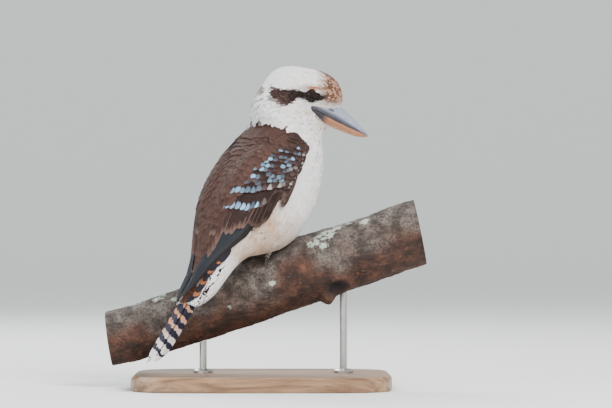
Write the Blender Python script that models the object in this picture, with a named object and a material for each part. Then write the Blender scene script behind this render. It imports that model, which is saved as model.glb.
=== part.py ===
"""A laughing kookaburra at life size, as a museum shows one: it grips a cut length of branch,
which two short rods hold above a flat base.

The frame is in metres with +Z up. The origin is the middle of the base's underside. The side view,
along +Y, is the one that shows the bird's right flank: the bill points to +X, and the tail hangs
down in front of the branch, towards -Y. The body turns away from the side view and the head turns
back into it.

The body is one skin of stacked slices along a leaning spine, parted by planes into torso, neck and
head. Wings and tail are flat vanes laid in tiers on that skin and on its run past the tail.
"""

import math

import bmesh
import bpy
import numpy as np
from mathutils import Matrix, Vector

MM = 0.001
SEAM = 0.32 * MM  # the gap that parts two neighbouring pieces

# Driving sizes of the pose
SHOULDER = Vector((20.5, 14, 270)) * MM  # where the spine passes between the shoulders
SPINE_LEAN = math.radians(60)  # of the spine above level, as the side view shows it
TORSO_TURN = math.radians(40)  # how far the torso turns away from the side view
HEAD_TURN = math.radians(-10)  # the head turns the other way, towards the viewer
NECK_START, NECK_END = -12 * MM, 46 * MM  # the stretch of spine over which the neck twists

# Stations of the skin, in mm. "along" runs up the spine in the side view, from the tail's tip to
# the crown. "back" and "front" are how far the skin lies behind and before the spine, "widest" is
# where it is broadest, "half" is half its width, and "point" is the front's fullness: 2 is round,
# and less is more pointed.
STATION_FIELDS = ("along", "back", "widest", "front", "half", "point")
STATIONS = {
    "tail_tip": (-290, 0.0, 2.6, 4.6, 14.5, 2.2),
    "tail_half": (-225, -0.5, 2.6, 5.6, 13.5, 2.2),
    "tail_root": (-205, -1.5, 2.8, 8.0, 13.5, 2.2),
    "tail_coverts_tip": (-193, -2.5, 3.2, 18.0, 15, 2.2),
    "tail_coverts": (-177, -3.5, 4.5, 24.5, 18, 2.2),
    "vent": (-162, -6.0, 6.0, 25.5, 21, 2.2),
    "rump": (-145.8, -12.5, 5.0, 26.0, 27, 2.2),
    "hip": (-129.6, -20.5, 5.0, 31.0, 34, 2.2),
    "thigh": (-113.4, -27.0, 8.0, 47.0, 41, 2.2),
    "belly": (-97.2, -32.0, 12.0, 63.0, 46, 2.2),
    "keel": (-73.4, -35.0, 14.0, 73.0, 49, 2.2),
    "breast": (-45.4, -34.0, 14.0, 73.0, 50, 2.2),
    "chest": (-28.1, -31.5, 13.0, 68.0, 49, 2.2),
    "shoulders": (-8.6, -32.0, 9.0, 60.0, 45, 2.2),
    "neck_base": (6.5, -42.0, 3.0, 50.5, 39.5, 2.2),
    "throat": (23.8, -46.5, -5.0, 38.5, 33.5, 2.0),
    "chin": (33.5, -46.8, -9.0, 37.5, 31, 1.6),
    "gape": (44.8, -46.5, -12.0, 41.5, 30, 1.3),
    "eye": (55.7, -45.2, -10.0, 40.8, 30.5, 1.5),
    "brow": (61.6, -42.6, -8.0, 40.0, 29.5, 1.8),
    "forehead": (68.5, -37.1, -4.0, 38.3, 27, 2.0),
    "crown": (75.6, -25.9, 2.0, 33.5, 21.5, 2.0),
    "crown_top": (80.4, -14.0, 7.0, 28.4, 16, 2.0),
    "crown_peak": (84.2, -1.0, 10.0, 21.6, 8.5, 2.0),
    "crown_end": (86.0, 9.6, 10.3, 11.0, 0.6, 2.0),
}
BACK_FULLNESS = 2.25  # of the skin's back half: a little squarer than round

# Where planes part the skin, up the spine
TORSO_LOW, TORSO_HIGH = -162 * MM, 5 * MM
HEAD_LOW = 27.5 * MM
SKIN_SIDES = 24  # points round a slice


def clear_scene():
    for old in list(bpy.data.objects):
        bpy.data.objects.remove(old)


def material(name, colour, roughness=0.7, metallic=0.0):
    made = bpy.data.materials.new(name)
    made.use_nodes = True
    shader = made.node_tree.nodes["Principled BSDF"]
    shader.inputs["Base Color"].default_value = (*colour, 1)
    shader.inputs["Roughness"].default_value = roughness
    shader.inputs["Metallic"].default_value = metallic
    made.diffuse_color = (*colour, 1)
    return made


def new_object(name, points, faces):
    mesh = bpy.data.meshes.new(name)
    mesh.from_pydata([tuple(p) for p in points], [], faces)
    mesh.update()
    made = bpy.data.objects.new(name, mesh)
    bpy.context.scene.collection.objects.link(made)
    return made


def face_outwards(obj):
    work = bmesh.new()
    work.from_mesh(obj.data)
    bmesh.ops.recalc_face_normals(work, faces=work.faces)
    if work.calc_volume(signed=True) < 0:
        bmesh.ops.reverse_faces(work, faces=work.faces)
    work.to_mesh(obj.data)
    work.free()
    return obj


def tube(name, rings, closed_end=True):
    """One closed body from rings of points. A ring of one point closes its end in a tip."""
    points, faces, starts = [], [], []
    for ring in rings:
        starts.append(len(points))
        points.extend(ring)
    for (low, a), (high, b) in zip(zip(starts, rings), zip(starts[1:], rings[1:])):
        count = max(len(a), len(b))
        for i in range(count):
            j = (i + 1) % count
            if len(a) == 1:
                faces.append((low, high + j, high + i))
            elif len(b) == 1:
                faces.append((low + i, low + j, high))
            else:
                faces.append((low + i, low + j, high + j))
                faces.append((low + i, high + j, high + i))
    for start, ring in ((starts[0], rings[0]), (starts[-1], rings[-1])):
        if len(ring) > 1:
            faces.append(tuple(range(start, start + len(ring))))
    return face_outwards(new_object(name, points, faces))


def bake_modifiers(obj):
    """Turns an object's modifiers into its mesh."""
    graph = bpy.context.evaluated_depsgraph_get()
    graph.update()
    shaped = bpy.data.meshes.new_from_object(obj.evaluated_get(graph))
    obj.modifiers.clear()
    obj.data = shaped


def keep_largest_body(obj):
    work = bmesh.new()
    work.from_mesh(obj.data)
    left, bodies = set(work.faces), []
    while left:
        body, edge = set(), {left.pop()}
        while edge:
            face = edge.pop()
            body.add(face)
            for side in face.edges:
                for other in side.link_faces:
                    if other in left:
                        left.discard(other)
                        edge.add(other)
        bodies.append(body)
    largest = max(bodies, key=lambda b: sum(f.calc_area() for f in b))
    doomed = [f for body in bodies if body is not largest for f in body]
    bmesh.ops.delete(work, geom=doomed, context="FACES")
    bmesh.ops.triangulate(work, faces=work.faces)
    work.to_mesh(obj.data)
    work.free()


def join_pieces(core, pieces, name=None):
    """Fuses pieces into core with one Boolean union, removes them, and renames core."""
    group = bpy.data.collections.new(core.name + "_pieces")
    for piece in pieces:
        group.objects.link(piece)
    union = core.modifiers.new("union", "BOOLEAN")
    union.operation = "UNION"
    union.operand_type = "COLLECTION"
    union.collection = group
    union.solver = "EXACT"
    union.use_self = True
    bake_modifiers(core)
    for piece in pieces:
        bpy.data.objects.remove(piece)
    bpy.data.collections.remove(group)
    keep_largest_body(core)
    core.name = name or core.name
    return core


def cut_away(obj, cutters):
    """Takes each cutter's space out of obj. The cutters stay."""
    for cutter in cutters:
        cut = obj.modifiers.new("cut", "BOOLEAN")
        cut.operation = "DIFFERENCE"
        cut.solver = "EXACT"
        cut.object = cutter
        bake_modifiers(obj)
    keep_largest_body(obj)
    return obj


def remove(objects):
    for obj in objects:
        bpy.data.objects.remove(obj)


def smooth(t):
    t = min(1.0, max(0.0, t))
    return t * t * (3 - 2 * t)


def turn_at(along):
    """The heading of the slice at this place on the spine."""
    share = smooth((along - NECK_START) / (NECK_END - NECK_START))
    return TORSO_TURN + (HEAD_TURN - TORSO_TURN) * share


SPINE_STEP = 1 * MM
SPINE_PLACES = np.arange(-300 * MM, 100 * MM, SPINE_STEP)


def spine_depths():
    """How far the spine lies from the side view's plane through the shoulders, at each place."""
    slopes = np.array([math.cos(SPINE_LEAN) * math.tan(turn_at(a)) for a in SPINE_PLACES])
    depths = np.concatenate([[0], np.cumsum((slopes[1:] + slopes[:-1]) / 2 * SPINE_STEP)])
    return depths - np.interp(0, SPINE_PLACES, depths)


SPINE_DEPTHS = spine_depths()


def station_curves():
    """The stations' sizes as smooth curves over the place along the spine."""
    rows = np.array(list(STATIONS.values()))
    rows[:, :5] *= MM
    places, values = rows[:, 0], rows[:, 1:]
    slopes = np.empty_like(values)
    steps = np.diff(places)[:, None]
    rises = np.diff(values, axis=0) / steps
    slopes[0], slopes[-1] = rises[0], rises[-1]
    # A harmonic mean keeps each curve between its stations.
    same = rises[:-1] * rises[1:] > 0
    total = np.where(same, rises[:-1] + rises[1:], 1)
    slopes[1:-1] = np.where(same, 2 * rises[:-1] * rises[1:] / total, 0)
    return places, values, slopes


PLACES, VALUES, SLOPES = station_curves()


def sizes_at(along):
    """(back, widest, front, half, point) of the skin at this place on the spine."""
    along = min(max(along, PLACES[0]), PLACES[-1])
    i = min(int(np.searchsorted(PLACES, along, "right")) - 1, len(PLACES) - 2)
    step = PLACES[i + 1] - PLACES[i]
    t = (along - PLACES[i]) / step
    return (
        (1 + 2 * t) * (1 - t) ** 2 * VALUES[i]
        + t * (1 - t) ** 2 * step * SLOPES[i]
        + t * t * (3 - 2 * t) * VALUES[i + 1]
        + t * t * (t - 1) * step * SLOPES[i + 1]
    )


def slice_frame(along):
    """The spine's point, and the slice's upward, forward and rightward directions there."""
    turn = turn_at(along)
    depth = float(np.interp(along, SPINE_PLACES, SPINE_DEPTHS))
    centre = SHOULDER + Vector(
        (along * math.cos(SPINE_LEAN), depth, along * math.sin(SPINE_LEAN))
    )
    upward = Vector(
        (math.cos(SPINE_LEAN), math.cos(SPINE_LEAN) * math.tan(turn), math.sin(SPINE_LEAN))
    ).normalized()
    right = Vector((math.sin(turn), -math.cos(turn), 0))
    forward = upward.cross(right)
    return centre, upward, forward, right


def signed_power(value, power):
    return math.copysign(abs(value) ** power, value)


def skin_flat(along, angle):
    """The skin's point with no lift. Angle 0 is the middle of the back, and 90 degrees the right."""
    back, widest, front, half, point = sizes_at(along)
    centre, _, forward, right = slice_frame(along)
    behind = math.cos(angle) > 0
    power = 2 / (BACK_FULLNESS if behind else point)
    reach = widest - back if behind else front - widest
    ahead = widest - reach * signed_power(math.cos(angle), power)
    return centre + forward * ahead + right * (half * signed_power(math.sin(angle), power))


def skin_normal(along, angle):
    step, turn = 1 * MM, 0.04
    up = skin_flat(along + step, angle) - skin_flat(along - step, angle)
    round_ = skin_flat(along, angle + turn) - skin_flat(along, angle - turn)
    return round_.cross(up).normalized()


def skin(along, angle, lift=0.0):
    """A point on the skin, or above it by lift."""
    point = skin_flat(along, angle)
    return point + skin_normal(along, angle) * lift if lift else point


ARC_STEPS = 48  # samples of a slice's half outline, for distances over the skin
ARCS = {}


def arc_at(along):
    """Angles round the slice, and how far over the skin each lies from the middle of the back."""
    key = round(along / MM, 2)
    if key not in ARCS:
        angles = np.linspace(0, math.pi, ARC_STEPS + 1)
        points = np.array([skin_flat(along, a) for a in angles])
        steps = np.linalg.norm(np.diff(points, axis=0), axis=1)
        ARCS[key] = angles, np.concatenate([[0], np.cumsum(steps)])
    return ARCS[key]


def bed(along, across, lift=0.0):
    """A point over the skin. across is the way round from the middle of the back, to the right."""
    angles, arcs = arc_at(along)
    angle = math.copysign(float(np.interp(abs(across), arcs, angles)), across)
    return skin(along, angle, lift)


# The neck's two ends are parallel to the faces that they meet.
def skin_piece(name, low, high, rings, grow=0.0, low_gap=0.0, high_gap=0.0):
    """A length of the skin between two parting planes. grow makes it fatter, as a cutter is."""
    angles = [2 * math.pi * i / SKIN_SIDES for i in range(SKIN_SIDES)]
    made = [[skin(along, a, grow) for a in angles] for along in np.linspace(low, high, rings)]
    low_up, high_up = slice_frame(low)[1], slice_frame(high)[1]
    made[0] = [p + low_up * low_gap for p in made[0]]
    made[-1] = [p - high_up * high_gap for p in made[-1]]
    return tube(name, made)


# The cut branch: places along its middle line in mm, as x, z and radius, from its low end up
BRANCH_DEPTH = 12 * MM  # of its middle line behind the base's middle
BRANCH_LINE = (
    (-166, 51, 29.5),
    (-121, 64, 30.5),
    (-67, 81.5, 31.5),
    (-13, 102.5, 35),
    (41, 125.5, 37.5),
    (74, 136, 36.5),
    (127, 152.5, 36),
    (171, 170.5, 36),
)
BRANCH_SIDES = 20
BRANCH_RINGS = 11
BURR = (60 * MM, 8 * MM, 9 * MM)  # the broken twig's stump: where, how long and how thick
UPWARD = Vector((0, 0, 1))
SIDEWARD = Vector((0, 1, 0))


def branch_sizes(x):
    """The height of the branch's middle line and its radius, over x."""
    xs, zs, radii = (np.array(column) * MM for column in zip(*BRANCH_LINE))
    return float(np.interp(x, xs, zs)), float(np.interp(x, xs, radii))


def branch_frame(x):
    """The middle line's point, its direction, the way up from it, and the radius there."""
    step = 20 * MM
    height, radius = branch_sizes(x)
    low = (branch_sizes(x - step)[0] + height) / 2
    high = (branch_sizes(x + step)[0] + height) / 2
    along = Vector((step, 0, high - low)).normalized()
    middle = Vector((x, BRANCH_DEPTH, (low + high) / 2))
    return middle, along, SIDEWARD.cross(along) * -1, radius


def on_branch(x, round_, lift):
    """A point over the branch. round_ is the angle from its top, towards the far side."""
    middle, _, above, radius = branch_frame(x)
    outward = above * math.cos(round_) + SIDEWARD * math.sin(round_)
    return middle + outward * (radius + lift)


def branch_solid(name, grow=0.0):
    first, last = BRANCH_LINE[0][0] * MM, BRANCH_LINE[-1][0] * MM
    rings = []
    for x in np.linspace(first, last, BRANCH_RINGS):
        turns = [2 * math.pi * i / BRANCH_SIDES for i in range(BRANCH_SIDES)]
        rings.append([on_branch(x, turn, grow) for turn in turns])
    return tube(name, rings)


def make_perch():
    perch = branch_solid("perch")
    x, length, thickness = BURR
    root, _, above, radius = branch_frame(x)
    downward = (above * -1 + SIDEWARD * -0.35).normalized()
    aside = downward.cross(SIDEWARD).normalized()
    ahead = downward.cross(aside)
    rings = []
    for reach, width in ((-10 * MM, 1.2), (0, 1.15), (length * 0.6, 0.8), (length, 0.45)):
        centre = root + downward * (radius + reach)
        rings.append(
            [
                centre + (aside * math.cos(t) + ahead * math.sin(t)) * thickness * width
                for t in np.linspace(0, 2 * math.pi, 9)[:-1]
            ]
        )
    return join_pieces(perch, [tube("burr", rings)])


def round_rod(name, points, radii, sides=6, tip=False):
    """A rod through points. With tip, its last point is its sharp end."""
    rings = []
    points = [Vector(p) for p in points]
    guide = None
    for i, (point, radius) in enumerate(zip(points, radii)):
        before, after = points[max(i - 1, 0)], points[min(i + 1, len(points) - 1)]
        along = (after - before).normalized()
        if guide is None:
            guide = along.orthogonal().normalized()
        guide = (guide - along * guide.dot(along)).normalized()
        other = along.cross(guide)
        if tip and i == len(points) - 1:
            rings.append([point])
            continue
        turns = [2 * math.pi * k / sides for k in range(sides)]
        rings.append([point + (guide * math.cos(t) + other * math.sin(t)) * radius for t in turns])
    return tube(name, rings)


# The stand
BASE_LENGTH, BASE_DEPTH, BASE_HEIGHT = 280 * MM, 200 * MM, 16 * MM
BASE_CORNER = 5.0  # how square the outline is: 2 is an ellipse
BASE_SIDES = 32
ROD_RADIUS = 4 * MM
ROD_PLACES = {"stand_rod_left": -64 * MM, "stand_rod_right": 88 * MM}
COLLAR_RADIUS, COLLAR_HEIGHT = 11 * MM, 4 * MM
ROD_SIDES = 12


def make_base():
    rings = []
    bevel = 1.2 * MM
    for height, inset in ((0, bevel), (bevel, 0), (0.75 * BASE_HEIGHT, 0), (BASE_HEIGHT, 4 * MM)):
        ring = []
        for i in range(BASE_SIDES):
            turn = 2 * math.pi * i / BASE_SIDES
            x = (BASE_LENGTH / 2 - inset) * signed_power(math.cos(turn), 2 / BASE_CORNER)
            y = (BASE_DEPTH / 2 - inset) * signed_power(math.sin(turn), 2 / BASE_CORNER)
            ring.append(Vector((x, y, height)))
        rings.append(ring)
    return tube("stand_base", rings)


def make_rod(name, x, branch_cutter):
    foot = BASE_HEIGHT + SEAM
    middle = branch_sizes(x)[0]
    profile = (
        (foot, COLLAR_RADIUS),
        (foot + 0.6 * COLLAR_HEIGHT, COLLAR_RADIUS),
        (foot + COLLAR_HEIGHT, 0.75 * COLLAR_RADIUS),
        (foot + COLLAR_HEIGHT, ROD_RADIUS),
        (middle, ROD_RADIUS),
    )
    rings = []
    for height, radius in profile:
        ring = []
        for i in range(ROD_SIDES):
            turn = 2 * math.pi * i / ROD_SIDES
            away = Vector((math.cos(turn), math.sin(turn), 0)) * radius
            ring.append(Vector((x, BRANCH_DEPTH, height)) + away)
        rings.append(ring)
    return cut_away(tube(name, rings), [branch_cutter])


# The bill, in the head's own frame. Each row is how far ahead of the spine it lies, its half width,
# and how far up the spine the mouth line, the ridge and the underside are there, in mm.
MOUTH = 47 * MM  # the mouth line's place up the spine
BILL_ROWS = (
    (10, 17.5, 46.6, 58.0, 38.5),
    (16, 20.0, 46.8, 60.0, 37.8),
    (24, 17.2, 47.0, 61.5, 37.4),
    (32.5, 14.4, 47.2, 62.2, 37.2),
    (41, 12.0, 47.4, 61.7, 37.4),
    (52, 9.2, 47.8, 59.9, 39.4),
    (62.5, 6.6, 48.6, 57.0, 41.1),
    (72, 4.0, 49.3, 54.0, 43.6),
    (78, 2.0, 49.6, 51.9, 46.8),
)
UPPER_TIP, LOWER_TIP = (82, 49.6), (79.5, 48.6)  # ahead and up the spine
NOSTRIL = (34.4, 54.8)
NOSTRIL_LENGTH, NOSTRIL_HEIGHT = 2.6 * MM, 1.1 * MM
BILL_ARC = 8


def head_frame():
    centre, upward, forward, right = slice_frame(MOUTH)
    upward, forward, right = slice_frame(NECK_END)[1:]
    return centre, upward, forward, right


def in_head(ahead, up, aside):
    """A point by its distance ahead of the spine, its place up the spine, and right of it, in mm."""
    centre, upward, forward, right = head_frame()
    return centre + forward * (ahead * MM) + upward * (up * MM - MOUTH) + right * (aside * MM)


def bill_arc(ahead, half, mouth, edge, grow):
    """Half a ring, from the right side over the ridge or under the chin to the left side."""
    ring = []
    for i in range(BILL_ARC + 1):
        turn = math.pi * i / BILL_ARC
        rise = (edge - mouth) * math.sin(turn) ** 1.1
        rise += math.copysign(grow, edge - mouth) * math.sin(turn)
        ring.append(in_head(ahead, mouth + rise, (half + grow) * math.cos(turn)))
    return ring


def make_bill():
    gap = SEAM / MM / 2
    uppers = [bill_arc(a, w, m + gap, high, 0) for a, w, m, high, _ in BILL_ROWS]
    lowers = [bill_arc(a, w, m - gap, low, 0) for a, w, m, _, low in BILL_ROWS]
    uppers.append([in_head(*UPPER_TIP, 0)])
    lowers.append([in_head(*LOWER_TIP, 0)])
    upper, lower = tube("bill_upper", uppers), tube("bill_lower", lowers)
    pits = [ball("nostril_pit", in_head(*NOSTRIL, side * 10.8), 1.0 * MM, 1) for side in (1, -1)]
    _, upward, forward, right = head_frame()
    for pit in pits:
        turn = Matrix((forward, upward, right)).transposed().to_4x4()
        middle = pit.location.copy()
        stretch = Matrix.Diagonal((NOSTRIL_LENGTH / MM, NOSTRIL_HEIGHT / MM, 2.4, 1))
        pit.data.transform(turn @ stretch)
        pit.location = middle
    cut_away(upper, pits)
    remove(pits)
    return upper, lower


def bill_cutter():
    grow = SEAM / MM
    rings = []
    for ahead, half, mouth, high, low in BILL_ROWS[:7]:
        top = bill_arc(ahead, half, mouth, high, grow)
        bottom = bill_arc(ahead, half, mouth, low, grow)
        rings.append(top + bottom[-2:0:-1])
    _, _, forward, _ = head_frame()
    rings[0] = [p - forward * SEAM for p in rings[0]]
    return tube("bill_cutter", rings)


def ball(name, centre, radius, fineness):
    mesh = bpy.data.meshes.new(name)
    work = bmesh.new()
    bmesh.ops.create_icosphere(work, subdivisions=fineness, radius=radius)
    work.to_mesh(mesh)
    work.free()
    made = bpy.data.objects.new(name, mesh)
    made.location = centre
    bpy.context.scene.collection.objects.link(made)
    bpy.context.view_layer.update()
    return made


# The eyes
EYE_PLACE = (58 * MM, math.radians(118))  # up the spine, and round the skin from the back
EYE_RADIUS = 7.4 * MM
EYE_SUNK = 4.6 * MM  # of the eyeball's middle below the skin
LID_LENGTH, LID_HEIGHT = 6.3 * MM, 5.4 * MM  # half sizes of the opening
LID_RADIUS = 1.15 * MM
LID_PARTS, LID_SIDES = 14, 5


def eye_frame(side):
    """The middle of the opening, and its outward, forward and upward directions."""
    along, angle = EYE_PLACE
    angle *= side
    outward = skin_normal(along, angle)
    _, upward, forward, _ = slice_frame(along)
    forward = (forward - outward * forward.dot(outward)).normalized()
    return skin(along, angle), outward, forward, forward.cross(outward) * -side


def lid_ring(side):
    middle, outward, forward, upward = eye_frame(side)
    rings = []
    for i in range(LID_PARTS):
        turn = 2 * math.pi * i / LID_PARTS
        away = forward * (math.cos(turn) * LID_LENGTH) + upward * (math.sin(turn) * LID_HEIGHT)
        centre = middle + away + outward * 0.1 * MM
        away.normalize()
        ring = []
        for k in range(LID_SIDES):
            swing = 2 * math.pi * k / LID_SIDES
            ring.append(centre + (away * math.cos(swing) + outward * math.sin(swing)) * LID_RADIUS)
        rings.append(ring)
    points = [p for ring in rings for p in ring]
    faces = []
    for i in range(LID_PARTS):
        here, there = i * LID_SIDES, (i + 1) % LID_PARTS * LID_SIDES
        for k in range(LID_SIDES):
            n = (k + 1) % LID_SIDES
            faces.append((here + k, there + k, there + n, here + n))
    return face_outwards(new_object("lid", points, faces))


def eye_centre(side):
    middle, outward, _, _ = eye_frame(side)
    return middle - outward * EYE_SUNK


def make_head():
    head = skin_piece("head", HEAD_LOW, STATIONS["crown_end"][0] * MM, 15)
    join_pieces(head, [lid_ring(side) for side in (1, -1)])
    cutters = [bill_cutter()]
    cutters += [ball("eye_cutter", eye_centre(side), EYE_RADIUS + SEAM, 2) for side in (1, -1)]
    cut_away(head, cutters)
    remove(cutters)
    return head


# The legs and feet
FOOT_PLACES = {"leg_right": (27 * MM, math.radians(-17)), "leg_left": (5 * MM, math.radians(15))}
TARSUS_RADIUS = 4.2 * MM
TARSUS_LENGTH = 17 * MM
TOE_PADS = 2.1 * MM  # height of a toe's middle line over the bark
# Each toe's name, direction over the bark from the branch's own, length, thickness
TOES = (
    ("outer", 82, 25, 2.7),
    ("middle", 66, 29, 2.9),
    ("inner", 40, 19, 2.5),
    ("back", 236, 20, 2.9),
)
CLAW_LENGTH = 9 * MM


def toe(name, foot_x, foot_round, heading, length, thickness):
    _, _, _, radius = branch_frame(foot_x)
    heading = math.radians(heading)
    stations = ((0.0, 1.0, 1.05), (0.35, 1.05, 0.9), (0.7, 1.0, 0.95), (1.0, 0.95, 0.7))
    points, radii = [], []
    for share, lift, width in stations:
        reach = share * length * MM
        x = foot_x + reach * math.cos(heading) * 0.92
        turn = foot_round + reach * math.sin(heading) / radius
        points.append(on_branch(x, turn, TOE_PADS * lift))
        radii.append(thickness * width * MM)
    for share, lift, width in ((0.5, 1.25, 0.5), (0.85, 0.75, 0.28), (1.0, 0.35, 0.0)):
        reach = length * MM + share * CLAW_LENGTH
        x = foot_x + reach * math.cos(heading) * 0.92
        turn = foot_round + reach * math.sin(heading) / radius
        points.append(on_branch(x, turn, TOE_PADS * lift))
        radii.append(thickness * width * MM)
    return round_rod(name, points, radii, tip=True)


def tarsus(name, foot_x, foot_round, grow=0.0):
    foot = on_branch(foot_x, foot_round, 3 * MM)
    upward = (on_branch(foot_x, foot_round, 10 * MM) - foot).normalized()
    lean = (upward + UPWARD * 0.8).normalized()
    half_way = foot + lean * (0.5 * TARSUS_LENGTH)
    points = [foot - upward * grow, half_way, foot + lean * (TARSUS_LENGTH + grow)]
    radii = [TARSUS_RADIUS * share + grow for share in (1.1, 0.95, 1.1)]
    return round_rod(name, points, radii, sides=10)


def make_leg(name, branch_cutter):
    foot_x, foot_round = FOOT_PLACES[name]
    leg = tarsus(name, foot_x, foot_round)
    toes = [toe("toe_" + row[0], foot_x, foot_round, *row[1:]) for row in TOES]
    join_pieces(leg, toes)
    return cut_away(leg, [branch_cutter])


def leg_cutters():
    """What clears the leg out of the torso: each tarsus and toe, a seam fatter."""
    cutters = []
    for foot_x, foot_round in FOOT_PLACES.values():
        cutters.append(tarsus("leg_cutter", foot_x, foot_round, SEAM))
        for _, heading, length, thickness in TOES:
            fatter = thickness + SEAM / MM
            cutters.append(toe("toe_cutter", foot_x, foot_round, heading, length, fatter))
    return cutters


def plate(name, tops, bottoms):
    """A thin closed plate between two like grids of points, split alike on both of its faces."""
    rows, columns = len(tops), len(tops[0])
    under = rows * columns
    points = [p for row in tops for p in row] + [p for row in bottoms for p in row]
    faces = []
    for row in range(rows - 1):
        for column in range(columns - 1):
            a = row * columns + column
            b = a + columns
            for corners in ((a, a + 1, b + 1), (a, b + 1, b)):
                faces.append(corners)
                faces.append(tuple(under + i for i in reversed(corners)))
    last = under - columns
    rim = list(range(columns - 1))
    rim += [columns - 1 + row * columns for row in range(rows - 1)]
    rim += [last + column for column in range(columns - 1, 0, -1)]
    rim += [row * columns for row in range(rows - 1, 0, -1)]
    for here, there in zip(rim, rim[1:] + rim[:1]):
        faces.append((there, here, under + here))
        faces.append((there, under + here, under + there))
    return face_outwards(new_object(name, points, faces))


# A long feather's shape from root to tip: share of its length, and of its width
LONG_VANE = ((0.0, 0.55), (0.35, 0.95), (0.7, 1.0), (0.92, 0.75), (1.0, 0.25))
SHORT_VANE = ((0.0, 0.6), (0.75, 1.0), (1.0, 0.4))
VANE_THICK, VANE_TIP = 0.6, 0.5  # mm
ROOT_THICK = 0.8  # mm, where it is sunk in what carries it


def vane(place, path, half, lifts, tilt, shape, even=False):
    """One feather. path is its middle line over the bed, root first, in mm along and across, and
    lifts are its heights there. Its outer edge stands higher than its inner one by tilt."""
    shares = np.linspace(0, 1, len(path))
    middle = np.array(path, float)

    def at(share):
        return np.array([np.interp(share, shares, middle[:, 0]), np.interp(share, shares, middle[:, 1])])

    tops, bottoms = [], []
    for share, width in shape:
        lift = np.interp(share, np.linspace(0, 1, len(lifts)), lifts)
        run = at(min(share + 0.08, 1)) - at(max(share - 0.08, 0))
        outer = np.array([run[1], -run[0]]) / np.linalg.norm(run)
        thick = ROOT_THICK if share == 0 else VANE_TIP if share == 1 else VANE_THICK
        top, bottom = [], []
        for edge in (0, 1):
            along, across = at(share) + outer * ((2 * edge - 1) * half * width)
            lean = tilt * (1 if even else (1 + share) / 2) * edge
            top.append(place(along, across, lift + lean + thick))
            bottom.append(place(along, across, lift + lean))
        tops.append(top)
        bottoms.append(bottom)
    return plate("vane", tops, bottoms)


# The folded wing, over the body's skin in mm along the spine and across from the middle of the back.
# Its bed is the arm with the roots of all its feathers: place along, edge towards the back, outer
# edge, and thickness between them.
WING_BED = (
    (-9, 45, 53, 0.6),
    (-15, 36, 64, 2.0),
    (-26, 27, 67.5, 3.0),
    (-40, 18, 70, 3.6),
    (-54, 10, 72, 3.8),
    (-68, 7, 73, 3.8),
    (-80, 6, 67, 3.6),
    (-92, 6, 59, 3.2),
    (-104, 6, 55, 2.6),
    (-114, 8, 45, 1.6),
)
BED_ACROSS = 7
BED_MARGIN = 3  # mm, of the roots from the bed's edge
# How high the wing's underside is above the skin, over the place along
WING_FLOOR = ((-205, 3.6), (-190, 3.2), (-170, 2.8), (-158, 2.3), (-145, 1.8), (-120, 1.3), (0, 1.2))
# The folded wing's lower edge, as place along and across
WING_LOWER_EDGE = (
    (-207, 6),
    (-192, 12),
    (-170, 14),
    (-158, 18.5),
    (-145, 27),
    (-132, 37),
    (-120, 49),
    (-108, 58),
    (-80, 62),
)


def wing_floor(along):
    places, lifts = zip(*WING_FLOOR)
    return float(np.interp(along, places, lifts))


def lower_edge(along):
    places, across = zip(*WING_LOWER_EDGE)
    return float(np.interp(along, places, across))


def bed_top(along, across):
    """How high the wing's bed stands over the skin."""
    rows = WING_BED[::-1]
    places = [row[0] for row in rows]
    inner, outer, thick = (np.interp(along, places, [row[i] for row in rows]) for i in (1, 2, 3))
    share = min(1.0, max(0.0, (across - inner) / (outer - inner)))
    return wing_floor(along) + 0.6 + thick * math.sin(math.pi * share) ** 0.6


def onto_bed(along, across):
    """The same place, moved in from the bed's edge."""
    rows = WING_BED[::-1]
    along = min(along, WING_BED[0][0] - BED_MARGIN)
    places = [row[0] for row in rows]
    inner, outer = (np.interp(along, places, [row[i] for row in rows]) for i in (1, 2))
    return along, min(max(across, inner + BED_MARGIN), outer - BED_MARGIN)


def wing_bed(place):
    tops, bottoms = [], []
    for along, inner, outer, _ in WING_BED:
        row = [(along, across) for across in np.linspace(inner, outer, BED_ACROSS)]
        tops.append([place(a, c, bed_top(a, c)) for a, c in row])
        bottoms.append([place(a, c, wing_floor(a)) for a, c in row])
    return plate("wing_bed", tops, bottoms)


# Rows of short feathers laid like tiles on the bed: tips along and across, in mm, length, half
# width, and how much further out the root lies than the tip
TILE_ROWS = {
    "greater_coverts": (((-108, 18), (-107, 25), (-106, 32), (-103, 39), (-98, 46), (-91, 52)), 26, 5.4, 4),
    "primary_coverts": (((-103, 61), (-111, 56), (-112, 50)), 32, 5.2, 3),
    "alula": (((-71, 72), (-78, 75.5)), 32, 4.6, -2),
    "median_coverts": (((-91, 27), (-88, 34.5), (-83, 42), (-77, 49), (-70, 56), (-63, 62)), 27, 5.6, 5),
    "lesser_coverts": (((-66, 42), (-61, 49.5), (-54, 57), (-46, 64)), 25, 5.8, 5),
    "shoulder_coverts": (((-44, 46), (-38, 54), (-30, 61)), 22, 6, 3),
    "scapulars_low": (((-122, 14), (-129, 6.5)), 32, 6.4, 3),
    "scapulars_third": (((-99, 24), (-105, 15.5), (-108, 7.5)), 29, 6.6, 4),
    "scapulars_second": (((-77, 34), (-81, 25), (-84, 16), (-86, 8)), 30, 6.8, 5),
    "scapulars_first": (((-53, 36.5), (-57, 28), (-60, 19)), 27, 7, 6),
}
TILE_SUNK, TILE_RISE, TILE_TILT = 1.1, 2.0, 1.7  # mm, below the bed at the root and over it at the tip
HIGH_TILES = ("scapulars", "primary_coverts")
HIGH_TILE_RISE = 1.0  # more, because these lie over the wing's other tiles
PRIMARY_TIPS = (-176, -188, -197, -203, -206)  # the lowest first
PRIMARY_ROOT, PRIMARY_HALF = -90, 5.6
PRIMARY_STEP_IN, PRIMARY_STEP_UP = 1.7, 0.95
SECONDARY_TIPS = ((-121, 38), (-127, 31), (-131, 24), (-132.5, 17), (-134, 10))
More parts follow.
